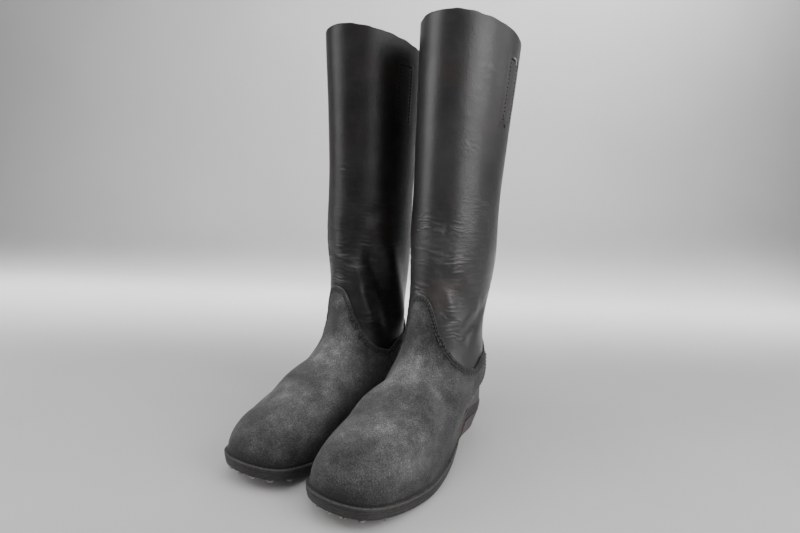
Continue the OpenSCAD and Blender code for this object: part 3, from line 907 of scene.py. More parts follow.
LOOKS = {
    "shaft": smooth_leather("shaft_leather"),
    # Painted shade: a darker, less shiny copy of the shaft leather, for the right boot's shaft
    "painted_shade_shaft": smooth_leather("painted_shade_shaft_leather", (0.006, 0.0058, 0.0066), (0.016, 0.010, 0.008),
                                 0.42, 0.33),
    "counter": smooth_leather("counter_leather", (0.021, 0.020, 0.022), (0.034, 0.027, 0.026), 0.5),
    "flesh": natural_leather("flesh_side", (0.085, 0.066, 0.052), (0.028, 0.021, 0.017)),
    "vamp": rough_leather("vamp_leather"),
    "sole": sole_leather("sole_edge_leather"),
    "welt": sole_leather("welt_leather", (0.036, 0.0345, 0.034)),
    "tread": sole_leather("tread_leather", (0.11, 0.085, 0.066), (0.032, 0.026, 0.022), 1.0),
    "heel": heel_leather("heel_stack_leather"),
    "inner": natural_leather("inner_leather"),
    "lining": natural_leather("lining_leather", (0.26, 0.175, 0.105), (0.10, 0.065, 0.042)),
    "cork": cork("cork_filler"),
    "spring": steel("spring_steel", (0.5, 0.5, 0.52), (0.2, 0.2, 0.21), 0.7),
    "iron": steel("heel_iron_steel", (0.42, 0.40, 0.38), (0.075, 0.062, 0.055), 0.45),
    "hobnail": steel("hobnail_steel", (0.50, 0.48, 0.46), (0.05, 0.044, 0.04), 0.42),
    "thread": thread("black_thread"),
    # Black thread made near black and almost unshiny: painted shade of the stitch pits
    "pit_shaded_thread": thread("pit_shaded_thread", (0.002, 0.002, 0.002), (0.006, 0.006, 0.006), 0.08),
    "hole": thread("hole_shadow", (0.001, 0.001, 0.001), (0.002, 0.002, 0.002), 0.0),
    "pale_thread": thread("pale_thread", (0.30, 0.29, 0.27), (0.62, 0.60, 0.56)),
    "tape": woven_tape("cotton_tape"),
}


def dress(piece, *looks):
    piece.data.materials.clear()
    for look in looks:
        piece.data.materials.append(LOOKS[look])


def finish_piece(piece, body, looks, nodes=()):
    dress(piece, *looks)
    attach(piece, body)
    if nodes:
        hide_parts(*nodes)
    return piece


# --- Uppers ---

SHAFT_COLUMNS, SHAFT_ROWS = 256, 400
VAMP_COLUMNS, VAMP_LOW_ROWS, VAMP_HIGH_ROWS = 360, 120, 71
VAMP_SPLIT = 0.8  # height parameter where the vamp's rows get closer
STRIP_HALF_W, STRIP_T = 7, 1.4
STRIP_SEAM = 0.72  # where the back strip's stitches run, as a share of its half width
COUNTER_REACH = 47  # millimetres from the back's middle to the counter's front edges
DEGREES_A_RADIAN = 57.3


def build_shaft(stand):
    side = stand.side
    u = np.arange(SHAFT_COLUMNS) / SHAFT_COLUMNS
    levels = spaced(vamp_top(side, u) - 0.2, np.full(len(u), RIM_S), SHAFT_ROWS)
    edge_seed = 7 if side == "left" else 9
    levels[:, -1] = RIM_S + 0.004 * noise(np.stack([u * 40, u * 0, u * 0], -1), edge_seed)
    sections, s_of = wall_sections(u, levels, SHAFT_OUT, SHAFT_IN,
                                   partial(shaft_relief, side), partial(broad_relief, side))
    # From the middle of the lip inwards the flesh side shows.
    piece = loft(f"{side}_shaft_leather", stand, sections, True,
                 lambda i, j: (j >= SHAFT_ROWS + 3).astype(int))
    phi = np.broadcast_to(phi_of(u)[:, None], s_of.shape)
    z = sections[..., 2]
    # The crests of the fine wrinkles are made paler: partly worn dye, partly painted highlight where light
    # would catch them; worn here holds only the wrinkle mask
    worn = wrinkle_mask(side, phi, z, sections)
    crest_wear_and_highlight = worn * (0.05 + 1.2 * np.clip(-wrinkle_lines(side, sections), 0, 0.7))
    # Painted sheen: the left boot's shaft is made a little paler all over, the right one's not
    haze = (0.05 + 0.05 * fbm(sections / (30, 30, 70), 57, 3)) * (side == "left")
    # The right boot's shaft wears the darker copy of the leather: painted shade
    outside = "shaft" if side == "left" else "painted_shade_shaft"
    # Painted sheen: the leather over each strap tab is made slightly paler
    tab_painted_sheen = np.maximum(strap_box(phi, z, "outer"), strap_box(phi, z, "inner"))
    set_tone(piece, np.clip(crest_wear_and_highlight + haze + 0.07 * tab_painted_sheen, 0, 1))
    finish_piece(piece, f"{side}_boot", (outside, "flesh"), (f"{side}_shaft",))


def build_back_strip(stand):
    side = stand.side
    u = 1 + np.linspace(-1, 1, 25) * STRIP_HALF_W / GIRTH
    levels = spaced(find_s(u, 128), np.full(len(u), RIM_S), 260)
    across = np.abs(np.linspace(-1, 1, 25))[:, None]
    groove = -0.3 * bump_at(across, STRIP_SEAM, 0.1) - 0.35 * smooth(across, 0.85, 1.0)
    under = partial(broad_relief, side)

    def relief(a, s, p):
        return under(a, s, p) + groove + 0.05 * fbm(p / 4, 5, 2)

    sections, s_of = wall_sections(u, levels, SHAFT_OUT + STRIP_T, SHAFT_OUT - 0.3, relief, under, 3, 6)
    piece = loft(f"{side}_back_strip_leather", stand, sections)
    set_tone(piece, np.full(s_of.shape, 0.1))
    finish_piece(piece, f"{side}_boot", ("shaft",), (f"{side}_back_strip",))
    lines = [[(1 + w * STRIP_SEAM * STRIP_HALF_W / GIRTH, z) for z in np.arange(140, 466, 3.6)]
             for w in (-1, 1)]
    sew_lines(stand, f"{side}_back_strip_stitches", lines, SHAFT_OUT + STRIP_T - 0.15, 0.36, 2.6, under)

def sew_lines(stand, name, lines, offset, radius, length, relief, look="thread", vertical=True):
    """Stitches centred on (u, z) points of each line, running up the boot or round it."""
    starts, ends, normals = [], [], []
    for line in lines:
        u, z = np.array(line).T
        s = find_s(u, z)
        p, n, along, up = skin_frame(u, s)
        way = unit(up) if vertical else unit(along)
        p = p + n * (offset + relief(u, s, p))[:, None]
        starts += list(p - way * length / 2)
        ends += list(p + way * length / 2)
        normals += list(n)
    piece = stitches(name, stand, starts, ends, normals, radius)
    finish_piece(piece, f"{stand.side}_boot", (look,))


def sew_edge(stand, name, edge, rows, pitch, length, offset, radius, relief, reach):
    """Rows of stitches that follow a leather edge."""
    starts, ends, normals = [], [], []
    at = np.arange(*reach, pitch)
    for row in rows:
        for shift, store in ((-length / 2, starts), (length / 2, ends)):
            u, s = edge.inset(at + shift, row)
            p, n, _, _ = skin_frame(u, s)
            store += list(p + n * (offset + relief(u, s, p))[:, None])
        normals += list(skin_frame(*edge.inset(at, row))[1])
    piece = stitches(name, stand, starts, ends, normals, radius)
    finish_piece(piece, f"{stand.side}_boot", ("thread",))

def vamp_tone(side, edge, u, s, sections):
    """Paler and darker nap: painted highlight on the instep, the ball and the toe's tip, painted shade
    towards the welt and on the flanks, darker high on the vamp and along the stitch rows, with random
    variation.
    """
    y = sections[..., 1]
    above = sections[..., 2] - last_z(y)
    phi = phi_of(u)
    # Painted shade towards the welt; painted highlight on the instep, the ball and the toe's tip
    tone = 0.45 * smooth(above, 3, 30)
    tone = tone + 0.5 * bump_at(y, 152, 24) * smooth(s, 0.3, 0.7) * bump_at(phi, 0, 40)
    tone = tone + 0.45 * bump_at(y, 156, 26) * bump_at(phi, 12, 18) * smooth(s, 0.4, 0.7)
    tone = tone + 0.34 * bump_at(y, 224, 32) * smooth(above, 10, 40)
    tone = tone + 0.3 * bump_at(y, 284, 14) * smooth(above, 4, 14)
    # Darker high on the vamp; painted shade at the welt and on the flanks
    tone = tone - 0.22 * smooth(s, 0.82, 0.98) - 0.5 * (1 - smooth(above, 1, 4))
    tone = tone - 0.2 * smooth(np.abs(phi), 60, 100)
    tone = tone + 0.3 * fbm(sections / 22, 201, 4)
    below = np.linalg.norm(skin(u, vamp_top(side, u)) - sections, axis=-1)
    distance, _ = edge_measures(edge, u, below)
    return np.clip(tone - 0.4 * bump_at(distance, sum(VAMP_ROWS) / 2, 3.2), -0.4, 1)

def build_vamp(stand):
    side = stand.side
    edge = vamp_edge(side)
    base = np.linspace(0, 1, VAMP_COLUMNS, endpoint=False)
    u = base + 0.018 * np.sin(4 * np.pi * base)  # columns crowd towards heel and toe
    top = vamp_top(side, u)
    split = np.minimum(VAMP_SPLIT, top - 0.05)
    levels = np.concatenate([spaced(np.zeros(len(u)), split, VAMP_LOW_ROWS),
                             spaced(split, top, VAMP_HIGH_ROWS)[:, 1:]], axis=1)
    relief = partial(vamp_relief, side, edge)
    sections, s_of = wall_sections(
        u, levels, VAMP_OUT, VAMP_IN, relief,
        lambda a, s, p: broad_relief(side, a, s, p) * smooth(s, 0.5, 0.9), 5, 6,
    )
    piece = loft(f"{side}_vamp_leather", stand, sections, True)
    set_tone(piece, vamp_tone(side, edge, np.broadcast_to(u[:, None], s_of.shape), s_of, sections))
    finish_piece(piece, f"{side}_boot", ("vamp",), (f"{side}_vamp",))
    length = edge.travel[-1]
    sew_edge(stand, f"{side}_vamp_stitches", edge, VAMP_ROWS, VAMP_PITCH, 2.9, VAMP_OUT + 0.25, 0.75,
             relief, (length * 0.13, length * 0.87))

def counter_rim(turn):
    """Height of the counter's top edge, at a turn from -1 to 1 between its front edges."""
    return COUNTER_TOP - COUNTER_DIP * np.abs(turn) ** 3

def build_counter(stand):
    side = stand.side
    w = np.linspace(-1, 1, 121)
    u = 1 + w * COUNTER_ANGLE / 360
    levels = spaced(np.zeros(len(w)), find_s(u, counter_rim(w)), 90)
    u2 = np.broadcast_to(u[:, None], levels.shape)
    p = skin(u2, levels)
    to_side = np.minimum(*(
        np.linalg.norm(p - skin(np.broadcast_to(end, levels.shape), levels), axis=-1)
        for end in (u[0], u[-1])
    ))
    drop = np.linalg.norm(p[:, -1:] - p, axis=-1)
    distance = np.minimum(to_side, drop)
    travel = np.where(to_side < drop, p[..., 2], u2 * GIRTH)
    skive = COUNTER_SKIVE * (1 - smooth(drop, 0, 28))
    sections, _ = wall_sections(
        u, levels, COUNTER_OUT, VAMP_OUT - 0.4,
        lambda a, s, q: counter_relief(side, q, distance, travel) - skive,
        lambda a, s, q: -0.6 * skive, 4, 6,
    )
    piece = loft(f"{side}_counter_leather", stand, sections)
    set_tone(piece, np.clip(0.25 + 0.3 * fbm(sections / 20, 33, 3), 0, 1))
    finish_piece(piece, f"{side}_boot", ("counter",), (f"{side}_heel_counter",))
    sew_counter(stand)

def sew_counter(stand):
    lines = []
    for row in COUNTER_ROWS:
        inset = row / HEEL_RADIUS * DEGREES_A_RADIAN / 360
        for way in (-1, 1):
            edge_u = 1 + way * (COUNTER_ANGLE / 360 - inset)
            lines.append([(edge_u, z) for z in np.arange(38, 112, COUNTER_PITCH)])
    name = f"{stand.side}_counter"
    sew_lines(stand, f"{name}_side_stitches", lines, COUNTER_OUT - 0.05, 0.6, 2.7, no_relief)
    turns = np.arange(-0.9, 0.901, COUNTER_PITCH / COUNTER_REACH)
    lines = [[(1 + t * COUNTER_ANGLE / 360, counter_rim(t) - row) for t in turns]
             for row in COUNTER_ROWS]
    sew_lines(stand, f"{name}_top_stitches", lines, COUNTER_OUT - COUNTER_SKIVE + 0.1, 0.55, 2.7,
              no_relief, vertical=False)

# --- Bottom ---

TIP_U = 0.0015  # how far from the heel's and the toe's middle the two sides stop

def outline_pairs(count, to_y=None):
    """Matching u values down the outer and inner side, from the heel to the toe or to to_y."""
    heel_y, toe_y = last_xy(np.array(0.0))[1], last_xy(np.array(0.5))[1]
    if to_y is None:
        y = heel_y + (toe_y - heel_y) * (1 - np.cos(np.pi * (np.arange(1, count) / count))) / 2
        ends = [0.5 - TIP_U], [0.5 + TIP_U]
    else:
        y = heel_y + (to_y - heel_y) * (1 - np.cos(np.pi / 2 * np.arange(1, count + 1) / count))
        ends = [], []
    return (np.concatenate([[TIP_U], find_u(y, False), ends[0]]),
            np.concatenate([[1 - TIP_U], find_u(y, True), ends[1]]))

def plan(u, grow):
    return last_xy(u) + grow * edge_normal(u)


def sole_plan(u, grow):
    """Outer edge of a sole layer, cut in at the waist."""
    tuck = WAIST_IN * np.exp(-((last_xy(u)[..., 1] - 94) / 34) ** 2)
    return last_xy(u) + (grow - tuck)[..., None] * edge_normal(u)


def heel_plan(u, grow, depth):
    """Outline of the heel at a depth from 0, under the outsole, to 1, at the ground."""
    heel_y = last_xy(np.array(0.0))[1]
    p = plan(u, grow)
    back = np.clip((BREAST_Y - p[..., 1]) / (BREAST_Y - heel_y), 0, None)
    return p + np.stack([0 * back, HEEL_RAKE * depth * back], -1)


def slab(name, stand, pairs, rows, roughen=0.0, seed=0, outline=None):
    """A closed layer. rows is a list of (grow, height function of y), from top to bottom."""
    loop = np.concatenate([pairs[0], pairs[1][::-1]])
    rings = []
    for grow, height in rows:
        xy = outline(loop, grow, height) if outline else plan(loop, grow)
        z = height(xy[:, 1])
        if roughen:
            q = np.stack([xy[:, 0] / 9, xy[:, 1] / 9, z / 0.9], -1)
            xy = xy + edge_normal(loop) * (roughen * noise(q, seed))[:, None]
        rings.append(np.concatenate([xy, z[:, None]], axis=1))
    points = np.stack(rings, axis=0)
    return loft(name, stand, points), points.reshape(-1, 3)

def ground(y):
    return 0 * y

def edge_rows(grow, top, bottom, lip, taper=0.0, count=7, base=last_z):
    """Rows of a layer's edge with rounded corners. top and bottom are heights above base."""
    def row(inward, level):
        return grow - inward, lambda y: base(y) + level

    rows = [row(lip * 2.2, top), row(lip, top), row(lip * 0.3, top - lip * 0.3)]
    rows += [row(taper * t, top - lip + (bottom - top + 2 * lip) * t) for t in np.linspace(0, 1, count)]
    rows += [row(taper + lip * 0.3, bottom + lip * 0.3), row(taper + lip, bottom),
             row(taper + lip * 2.2, bottom)]
    return rows

def build_sole(stand):
    side = stand.side
    pairs = outline_pairs(150)
    layers = (
        ("welt", SOLE_EDGE, 0.2, -WELT_T, 0.55, 0.35, "welt", 11),
        ("midsole", SOLE_EDGE - 0.35, -WELT_T, -WELT_T - MIDSOLE_T, 0.3, 0.5, "sole", 13),
        ("outsole", SOLE_EDGE - 0.85, -WELT_T - MIDSOLE_T, -SOLE_T, 0.45, 0.9, "sole", 17),
    )
    for node, grow, top, bottom, lip, taper, look, seed in layers:
        rows = edge_rows(grow, top, bottom, lip, taper)
        piece, points = slab(f"{side}_{node}_leather", stand, pairs, rows, 0.16, seed,
                             lambda u, d, height: sole_plan(u, d))
        # Painted highlight: a paler line along the top of the welt's edge
        welt_top_highlight = smooth(points[:, 2] - last_z(points[:, 1]), -1.2, 0.2) if node == "welt" else 0
        tone = np.clip(welt_top_highlight * 0.8 + 0.2 * fbm(points / 30, seed, 2), 0, 1)
        set_tone(piece, tone)
        finish_piece(piece, f"{side}_boot", (look, "tread"), (f"{side}_{node}",))
        if node == "outsole":
            mesh = piece.data
            for polygon in mesh.polygons:
                if abs(polygon.normal.z) > 0.8:
                    polygon.material_index = 1
    build_welt_stitches(stand)


def build_welt_stitches(stand):
    """Stitches in the narrow ledge of the welt, outside the vamp."""
    fine = np.linspace(0.0, 1.0, 2001)
    grow = (VAMP_OUT + SOLE_EDGE) / 2 + 0.1
    xy = sole_plan(fine, np.full(fine.shape, grow))
    travel = np.concatenate([[0], np.cumsum(np.linalg.norm(np.diff(xy, axis=0), axis=1))])
    pitch, length = 4.2, 2.9
    at = np.arange(pitch, travel[-1] - pitch, pitch)

    def on_welt(t):
        x = np.interp(t, travel, xy[:, 0])
        y = np.interp(t, travel, xy[:, 1])
        return np.stack([x, y, last_z(y) + 0.25], -1)
    up = np.tile([0.0, 0.0, 1.0], (len(at), 1))
    piece = stitches(f"{stand.side}_welt_stitches", stand,
                     on_welt(at - length / 2), on_welt(at + length / 2), up, 0.42)
    finish_piece(piece, f"{stand.side}_boot", ("thread",))


def build_insole(stand):
    side = stand.side
    pairs = outline_pairs(90)
    rows = edge_rows(VAMP_IN - 2.6, 5.2, 2.2, 0.5, 0.3, 3)
    piece, points = slab(f"{side}_insole_leather", stand, pairs, rows)
    set_tone(piece, np.zeros(len(points)))
    finish_piece(piece, f"{side}_boot", ("lining",), (f"{side}_insole",))


def build_heel(stand):
    side = stand.side
    pairs = outline_pairs(60, to_y=BREAST_Y)
    heel_top = HEEL_Z - SOLE_T
    layers = [(f"heel_lift_{k}", heel_top - (k - 1) * LIFT_T, heel_top - k * LIFT_T) for k in (1, 2, 3)]
    layers.append(("heel_top_piece", TOP_PIECE_T, TOP_PIECE_T / 2))

    def outline(u, d, height):
        depth = 1 - float(height(np.zeros(1))[0]) / heel_top
        return heel_plan(u, d - HEEL_TAPER * depth, depth)

    for k, (node, top, bottom) in enumerate(layers):
        rows = edge_rows(LIFT_EDGE, top, bottom, 0.3, count=5, base=ground)
        piece, points = slab(f"{side}_{node}_leather", stand, pairs, rows, 0.18, 41 + k, outline)
        front = smooth(points[:, 1], 46, 70) * smooth(points[:, 0], 6, 20)
        low = 1 - smooth(points[:, 2], 2, 26)
        tone = np.clip(front * (0.75 + 0.35 * low) + 0.25 * low * fbm(points / 12, 77, 2), 0, 1)
        set_tone(piece, tone)
        finish_piece(piece, f"{side}_boot", ("heel",), (f"{side}_{node}",))
    core_pairs = outline_pairs(40, to_y=BREAST_Y)
    rows = edge_rows(LIFT_EDGE - 0.1 - IRON_W, TOP_PIECE_T / 2, 0.0, 0.3, count=3, base=ground)
    piece, points = slab(f"{side}_heel_top_core_leather", stand, core_pairs, rows, outline=outline)
    set_tone(piece, np.full(len(points), 0.35))
    finish_piece(piece, f"{side}_boot", ("heel",))


def build_iron(stand):
    """U-shaped plate let into the heel's bottom edge, its corners rubbed round."""
    side = stand.side
    pairs = outline_pairs(60, to_y=BREAST_Y)
    u = np.concatenate([pairs[0][::-1], pairs[1]])
    edge = LIFT_EDGE - HEEL_TAPER
    t = TOP_PIECE_T / 2
    profile = [
        (edge - 0.1, t), (edge, t - 0.3), (edge, 0.5), (edge - 0.15, 0.15), (edge - 0.5, 0.0),
        (edge - IRON_W / 2, 0.0), (edge - IRON_W + 0.5, 0.0), (edge - IRON_W + 0.2, 0.2),
        (edge - IRON_W + 0.2, t - 0.2), (edge - IRON_W + 0.2, t),
    ]
    sections = np.stack([
        np.concatenate([heel_plan(u, grow, 1), np.full((len(u), 1), z)], axis=1) for grow, z in profile
    ], axis=1)
    piece = loft(f"{side}_heel_iron_plate", stand, sections)
    finish_piece(piece, f"{side}_boot", ("iron",), (f"{side}_heel_iron",))


def lathe(profile, sides):
    """Vertices and faces of a turned shape from (radius, z) points, closed at both ends."""
    vertices = [(r * math.cos(2 * math.pi * k / sides), r * math.sin(2 * math.pi * k / sides), z)
                for r, z in profile for k in range(sides)]
    return np.array(vertices), round_faces(len(profile), sides)


def scatter(name, stand, shape, places, tilt, seed):
    """Copies of a small turned shape at boot-frame points, each slightly tilted and worn."""
    random = np.random.default_rng(seed)
    base_v, base_f = shape
    vertices, faces = [], []
    for place in places:
        lean = Matrix.Rotation(random.uniform(-tilt, tilt), 3, "X")
        lean = lean @ Matrix.Rotation(random.uniform(-tilt, tilt), 3, "Y")
        size = random.uniform(0.94, 1.03)
        moved = base_v @ np.array(lean).T * (size, size, 1) + place
        faces += [[len(vertices) + k for k in face] for face in base_f]
        vertices += list(moved)
    piece = make_mesh(name, stand.place(np.array(vertices)), faces)
    turn_outward(piece)
    return piece


def hobnail_places():
    """Rows of four across the forepart, and a bow of them round the toe."""
    places = []
    for y in np.arange(148.0, 245.0, 16):
        outer = last_xy(find_u(y, False))[0] - 7
        inner = last_xy(find_u(y, True))[0] + 7
        places += [(x, y) for x in np.linspace(inner, outer, 4)]
    places += list(plan(np.linspace(0.4, 0.6, 7), -1.5))
    return [(x, y, float(last_z(y)) - SOLE_T) for x, y in places]


def build_nails(stand):
    side = stand.side
    head = BALL_Z - SOLE_T
    profile = [(1.6, -head), (2.5, -head * 0.97), (3.1, -head * 0.86), (3.6, -head * 0.66),
               (4.0, -head * 0.38), (4.2, -head * 0.1), (4.15, 0.15), (1.0, 0.2), (1.0, 3.0)]
    piece = scatter(f"{side}_hobnail_heads", stand, lathe(profile, 20), hobnail_places(), 0.05, 5)
    finish_piece(piece, f"{side}_boot", ("hobnail",), (f"{side}_hobnails",))


# --- Inside ---

LINING_ANGLE, LINING_TOP = 76, 108


def build_lining(stand):
    side = stand.side
    w = np.linspace(-1, 1, 61)
    u = 1 + w * LINING_ANGLE / 360
    levels = spaced(np.full(len(w), 0.08), find_s(u, LINING_TOP - 20 * np.abs(w) ** 3), 40)
    sections, _ = wall_sections(u, levels, SHAFT_IN - 0.3, SHAFT_IN - 1.5,
                                no_relief, lambda a, s, p: 0.15 * fbm(p / 12, 61, 3), 3, 2)
    piece = loft(f"{side}_counter_lining_leather", stand, sections)
    finish_piece(piece, f"{side}_boot", ("lining",), (f"{side}_counter_lining",))


# --- Pull straps ---

def strap_hinge(name):
    u = np.array(u_at(strap_phi(name)))
    s = find_s(u, STRAP_TOP_Z)
    p, n, _, _ = skin_frame(u, s)
    return p + (SHAFT_IN - 2.2 - LOOP_GAP - TAPE_T / 2) * n


def strap_lean(name):
    """How far the wall beside the hanging loop leans."""
    u = np.full(2, u_at(strap_phi(name)))
    p, n, _, _ = skin_frame(u, find_s(u, np.array([STRAP_TOP_Z, STRAP_TOP_Z - LOOP_L])))
    p = p + (SHAFT_IN - 2.2) * n
    return math.atan2(abs(p[0, 0] - p[1, 0]), p[0, 2] - p[1, 2])


def herringbone(travel, across):
    """Ribs of the woven tape, in millimetres."""
    zigzag = np.abs(np.mod(across / 3.0, 2) - 1) * 3
    return 0.10 * np.sin((travel + zigzag) * 2 * np.pi / 1.5)

def build_tab(stand, name):
    side = stand.side
    middle = u_at(strap_phi(name))
    ring = LEG[4]
    spread = TAPE_W / 2 / (math.pi * (ring[3] - ring[2]))
    w = np.linspace(-1, 1, 49)
    u = middle + w * spread
    levels = spaced(find_s(u, STRAP_TOP_Z - TAB_L), find_s(u, STRAP_TOP_Z), 150)
    across = w[:, None] * TAPE_W / 2

    def ribs(a, s, p):
        weave = herringbone(p[..., 2], across)
        selvedge = -0.25 * smooth(np.abs(across), TAPE_W / 2 - 1.2, TAPE_W / 2)
        return -(weave + selvedge) + broad_relief(side, a, s, p)

    sections, _ = wall_sections(u, levels, SHAFT_IN - 0.2, SHAFT_IN - 1.9,
                                partial(broad_relief, side), ribs, 3, 1)
    piece = loft(f"{side}_{name}_strap_tab_tape", stand, sections)
    finish_piece(piece, f"{side}_boot", ("tape",), (f"{side}_{name}_strap_tab",))


def drop_line(steps=120):
    """Centre line of the hanging loop: (distance into the shaft, height), from the hinge down
    the wall side, round the eye and back up."""
    r = (EYE_W + TAPE_T) / 2
    low = np.array([r, r + TAPE_T / 2 - LOOP_L])
    depth = -low[1]
    a = np.linspace(np.pi, 2 * np.pi, steps // 3)
    round_part = np.stack([low[0] + r * np.cos(a), low[1] + r * np.sin(a)], -1)
    t = np.linspace(0, 1, steps // 3)
    wall = np.stack([0 * t + 0.25 * np.sin(np.pi * t), -1.2 - (depth - 1.2) * t], -1)
    back = np.stack([2 * r * (1 - t) * (1 + 0.35 * t) + 1.5 * t, -depth + (depth - 2.2) * t], -1)
    return np.concatenate([wall, round_part[1:-1], back])


def build_loop(stand, name):
    """The free tape loop, hanging down inside the shaft."""
    side = stand.side
    hinge = strap_hinge(name)
    into = -1 if name == "outer" else 1
    lean = strap_lean(name)
    turn = np.array([[math.cos(lean), math.sin(lean)], [-math.sin(lean), math.cos(lean)]])
    line = drop_line() @ turn
    tangent = unit(np.gradient(line, axis=0))
    normal = np.stack([tangent[:, 1], -tangent[:, 0]], -1)
    travel = np.concatenate([[0], np.cumsum(np.linalg.norm(np.diff(line, axis=0), axis=1))])
    half_t = TAPE_T / 2 - 0.15
    across = np.linspace(-TAPE_W / 2 + 0.4, TAPE_W / 2 - 0.4, 33)

    def face(way):
        offset = way * (half_t + herringbone(travel[:, None], across[None, :]))
        offset = offset * (1 - 0.45 * smooth(np.abs(across), TAPE_W / 2 - 1.4, TAPE_W / 2 - 0.4))[None, :]
        xz = line[:, None, :] + normal[:, None, :] * offset[..., None]
        y = np.broadcast_to(across[None, :], offset.shape)
        return np.stack([hinge[0] + into * xz[..., 0], hinge[1] + y, hinge[2] + xz[..., 1]], -1)

    sections = np.concatenate([face(1), face(-1)[:, ::-1]], axis=1)
    piece = loft(f"{side}_{name}_strap_loop_tape", stand, sections)
    finish_piece(piece, f"{side}_{name}_strap_loop", ("tape",), (f"{side}_{name}_strap_loop",))


def build_strap_stitches(stand, name):
    """The stitches down both sides of a tab and across its top, as they show outside."""
    middle = u_at(strap_phi(name))
    half_w = (TAPE_W / 2 - 2) / STRAP_ARC / 360
    low, high = STRAP_TOP_Z - TAB_L + 2, STRAP_TOP_Z - 2
    uprights = [[(middle + w * half_w, z) for z in np.arange(low, high, 4.2)] for w in (-1, 1)]
    bar = [(middle + t * half_w, high) for t in np.arange(-0.86, 0.87, 0.34)]
    for part, lines, length in (("side", uprights, 2.7), ("top", [bar], 2.6)):
        # The strap stitches use the near-black thread: painted shade of the pits
        sew_lines(stand, f"{stand.side}_{name}_strap_{part}_stitches", lines, SHAFT_OUT + 0.2, 0.85,
                  length, partial(shaft_relief, stand.side), "pit_shaded_thread", part == "side")

def tube(name, stand, line, radius, sides=8):
    """A closed round thread along boot-frame points."""
    tangent = unit(np.gradient(line, axis=0))
    cross = unit(np.cross(tangent, [0.3, 0.2, 1.0]))
    lift = np.cross(cross, tangent)
    turn = 2 * np.pi * np.arange(sides) / sides
    rings = line[:, None] + radius * (cross[:, None] * np.cos(turn)[None, :, None]
                                      + lift[:, None] * np.sin(turn)[None, :, None])
    piece = make_mesh(name, stand.place(rings.reshape(-1, 3)), round_faces(len(line), sides))
    turn_outward(piece)
    return piece


# Loose thread ends on the left boot: (phi, z), (reach round the boot, rise), how far out they start
THREAD_ENDS = {
    "counter": ((-121, 62), (-4.0, -5.0), COUNTER_OUT),
    "strap": ((-90, 456), (-5.5, -4.0), SHAFT_OUT + 0.5),
}


# Small worn holes below the left boot's outer strap: (millimetres round the boot, millimetres up)
# from the middle of the strap tab's lower edge, and the length of the hole
WORN_HOLES = ((11, -1, 8.5), (3, -7, 4.5))


# The holes are near-black tubes laid in the leather: painted shade for their insides
def build_worn_holes(stand):
    for k, (round_mm, up_mm, length) in enumerate(WORN_HOLES):
        z = STRAP_TOP_Z - TAB_L + up_mm + np.linspace(0, length, 9)
        u = u_at(strap_phi("outer") + (round_mm + 0.4 * np.sin(z)) / STRAP_ARC)
        p, n, _, _ = skin_frame(u, find_s(u, z))
        line = p + n * (SHAFT_OUT - 0.55 * np.abs(np.linspace(-1, 1, 9))[:, None] ** 3)
        piece = tube(f"{stand.side}_worn_hole_{k + 1}", stand, line, 0.8)
        finish_piece(piece, f"{stand.side}_boot", ("hole",))


def build_thread_ends(stand):
    """Ends of pale thread that have worked out of the seams."""
    for name, ((phi, z), (reach, rise), offset) in THREAD_ENDS.items():
        u = np.array(u_at(phi))
        p, n, along, up = skin_frame(u, find_s(u, z))
        t = np.linspace(0, 1, 17)[:, None]
        line = p + n * (offset + 2.2 * np.sin(2.4 * t)) + unit(along) * reach * t
        line = line + unit(up) * (rise * t + 1.2 * np.sin(5 * t))
        piece = tube(f"{stand.side}_{name}_thread_end", stand, line, 0.45)
        finish_piece(piece, f"{stand.side}_boot", ("pale_thread",))


# --- Carried-over CAD nodes ---

CARRIED = {
    "counter_stiffener": "inner", "toe_puff": "inner", "filler": "cork",
    "shank": "spring", "heel_nails": "iron",
}


def dress_carried():
    for side in SIDES:
        for node, look in CARRIED.items():
            dress(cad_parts[f"{side}_{node}"], look)


# --- Stage, lights and camera ---

CAMERA = {"azimuth": 32.2, "distance": 0.6166, "height": 0.3156, "roll": 2.8, "lens": 22.96}
TARGET = Vector((0.0012, 0.0498, 0.2165))


def build_camera():
    a = math.radians(CAMERA["azimuth"])
    place = Vector((TARGET.x + math.sin(a) * CAMERA["distance"],
                    TARGET.y - math.cos(a) * CAMERA["distance"], CAMERA["height"]))
    ahead = (TARGET - place).normalized()
    right = ahead.cross(Vector((0, 0, 1))).normalized()
    up = right.cross(ahead)
    roll = math.radians(CAMERA["roll"])
    tilted_right = right * math.cos(roll) + up * math.sin(roll)
    tilted_up = up * math.cos(roll) - right * math.sin(roll)
    turn = Matrix((tilted_right, tilted_up, -ahead)).transposed()
    data = bpy.data.cameras.new("camera")
    data.sensor_width = 36
    data.lens = CAMERA["lens"]
    data.clip_start = 0.01
    camera = bpy.data.objects.new("camera", data)
    camera.matrix_world = Matrix.Translation(place) @ turn.to_4x4()
    bpy.context.scene.collection.objects.link(camera)
    bpy.context.scene.camera = camera


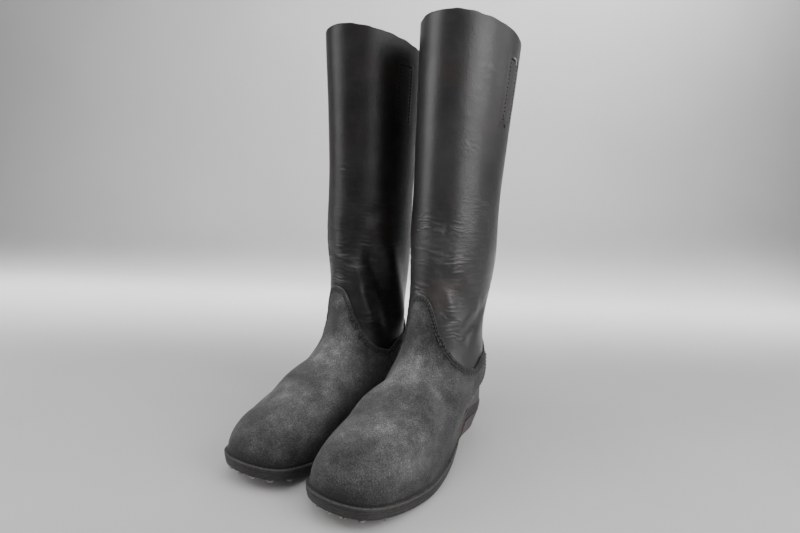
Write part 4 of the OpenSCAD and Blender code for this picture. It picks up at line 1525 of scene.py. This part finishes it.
def build_stage():
    """A pale floor that sweeps up into a backdrop behind the boots."""
    a = math.radians(CAMERA["azimuth"])
    back = np.array([-math.sin(a), math.cos(a)])
    across = np.array([math.cos(a), math.sin(a)])
    start, radius, top = 0.95, 0.5, 3.2
    line = [(-4.0, 0.0), (start, 0.0)]
    line += [(start + radius * math.sin(t), radius * (1 - math.cos(t)))
             for t in np.linspace(0.08, math.pi / 2, 20)]
    line.append((start + radius, top))
    vertices = [(*(across * w + back * d), z) for d, z in line for w in (-5.0, 5.0)]
    faces = [[2 * k, 2 * k + 1, 2 * k + 3, 2 * k + 2] for k in range(len(line) - 1)]
    floor = make_mesh("studio_sweep", vertices, faces)
    look = Look("studio_paper")
    paper = look.ramp(look.noise(3, 3), [(0.3, (0.50, 0.50, 0.495)), (0.7, (0.53, 0.53, 0.525))])
    look.link(paper, "Base Color")
    look.set(Roughness=0.75, Specular_IOR_Level=0.25)
    floor.data.materials.append(look.material)


def area_light(name, azimuth, distance, height, size, power, aim=(0, 0, 0.25), spread=180):
    a = math.radians(azimuth)
    data = bpy.data.lights.new(name, "AREA")
    data.shape = "RECTANGLE"
    data.size, data.size_y = size
    data.energy = power
    data.spread = math.radians(spread)
    light = bpy.data.objects.new(name, data)
    light.visible_camera = False
    place = Vector((math.sin(a) * distance, -math.cos(a) * distance, height))
    light.location = place
    light.rotation_euler = (Vector(aim) - place).to_track_quat("-Z", "Y").to_euler()
    bpy.context.scene.collection.objects.link(light)


# Where the lights behind the boots point: the floor in front of the cove, and high on the wall
COVE = (-0.42, 0.68, 0.0)
WALL_TOP = (-0.4, 1.3, 1.1)


def build_lights():
    area_light("left_softbox", -50, 1.3, 0.75, (0.8, 1.3), 14)
    area_light("right_softbox", 88, 1.4, 0.8, (0.95, 1.4), 24)
    area_light("edge_softbox", 130, 1.5, 1.0, (0.35, 1.0), 4)
    area_light("top_softbox", 20, 0.6, 1.9, (1.8, 1.8), 22, aim=(0, 0.2, 0))
    area_light("cove_strip", 212, 0.85, 1.1, (3.0, 0.15), 12, aim=COVE, spread=50)
    area_light("wall_wash", 150, 0.9, 1.5, (1.6, 0.3), 12, aim=WALL_TOP, spread=100)
    world = bpy.data.worlds.new("studio")
    world.use_nodes = True
    shade = world.node_tree.nodes["Background"]
    shade.inputs["Color"].default_value = (0.78, 0.79, 0.80, 1)
    shade.inputs["Strength"].default_value = 0.30
    bpy.context.scene.world = world


# --- Everything ---

build_camera()
for side in SIDES:
    stand = Stand(side)
    build_shaft(stand)
    build_back_strip(stand)
    build_vamp(stand)
    build_counter(stand)
    build_sole(stand)
    build_insole(stand)
    build_heel(stand)
    build_iron(stand)
    build_nails(stand)
    build_lining(stand)
    for name in ("outer", "inner"):
        build_tab(stand, name)
        build_loop(stand, name)
        build_strap_stitches(stand, name)
build_thread_ends(Stand("left"))
build_worn_holes(Stand("left"))
dress_carried()
build_stage()
build_lights()

bpy.context.view_layer.update()
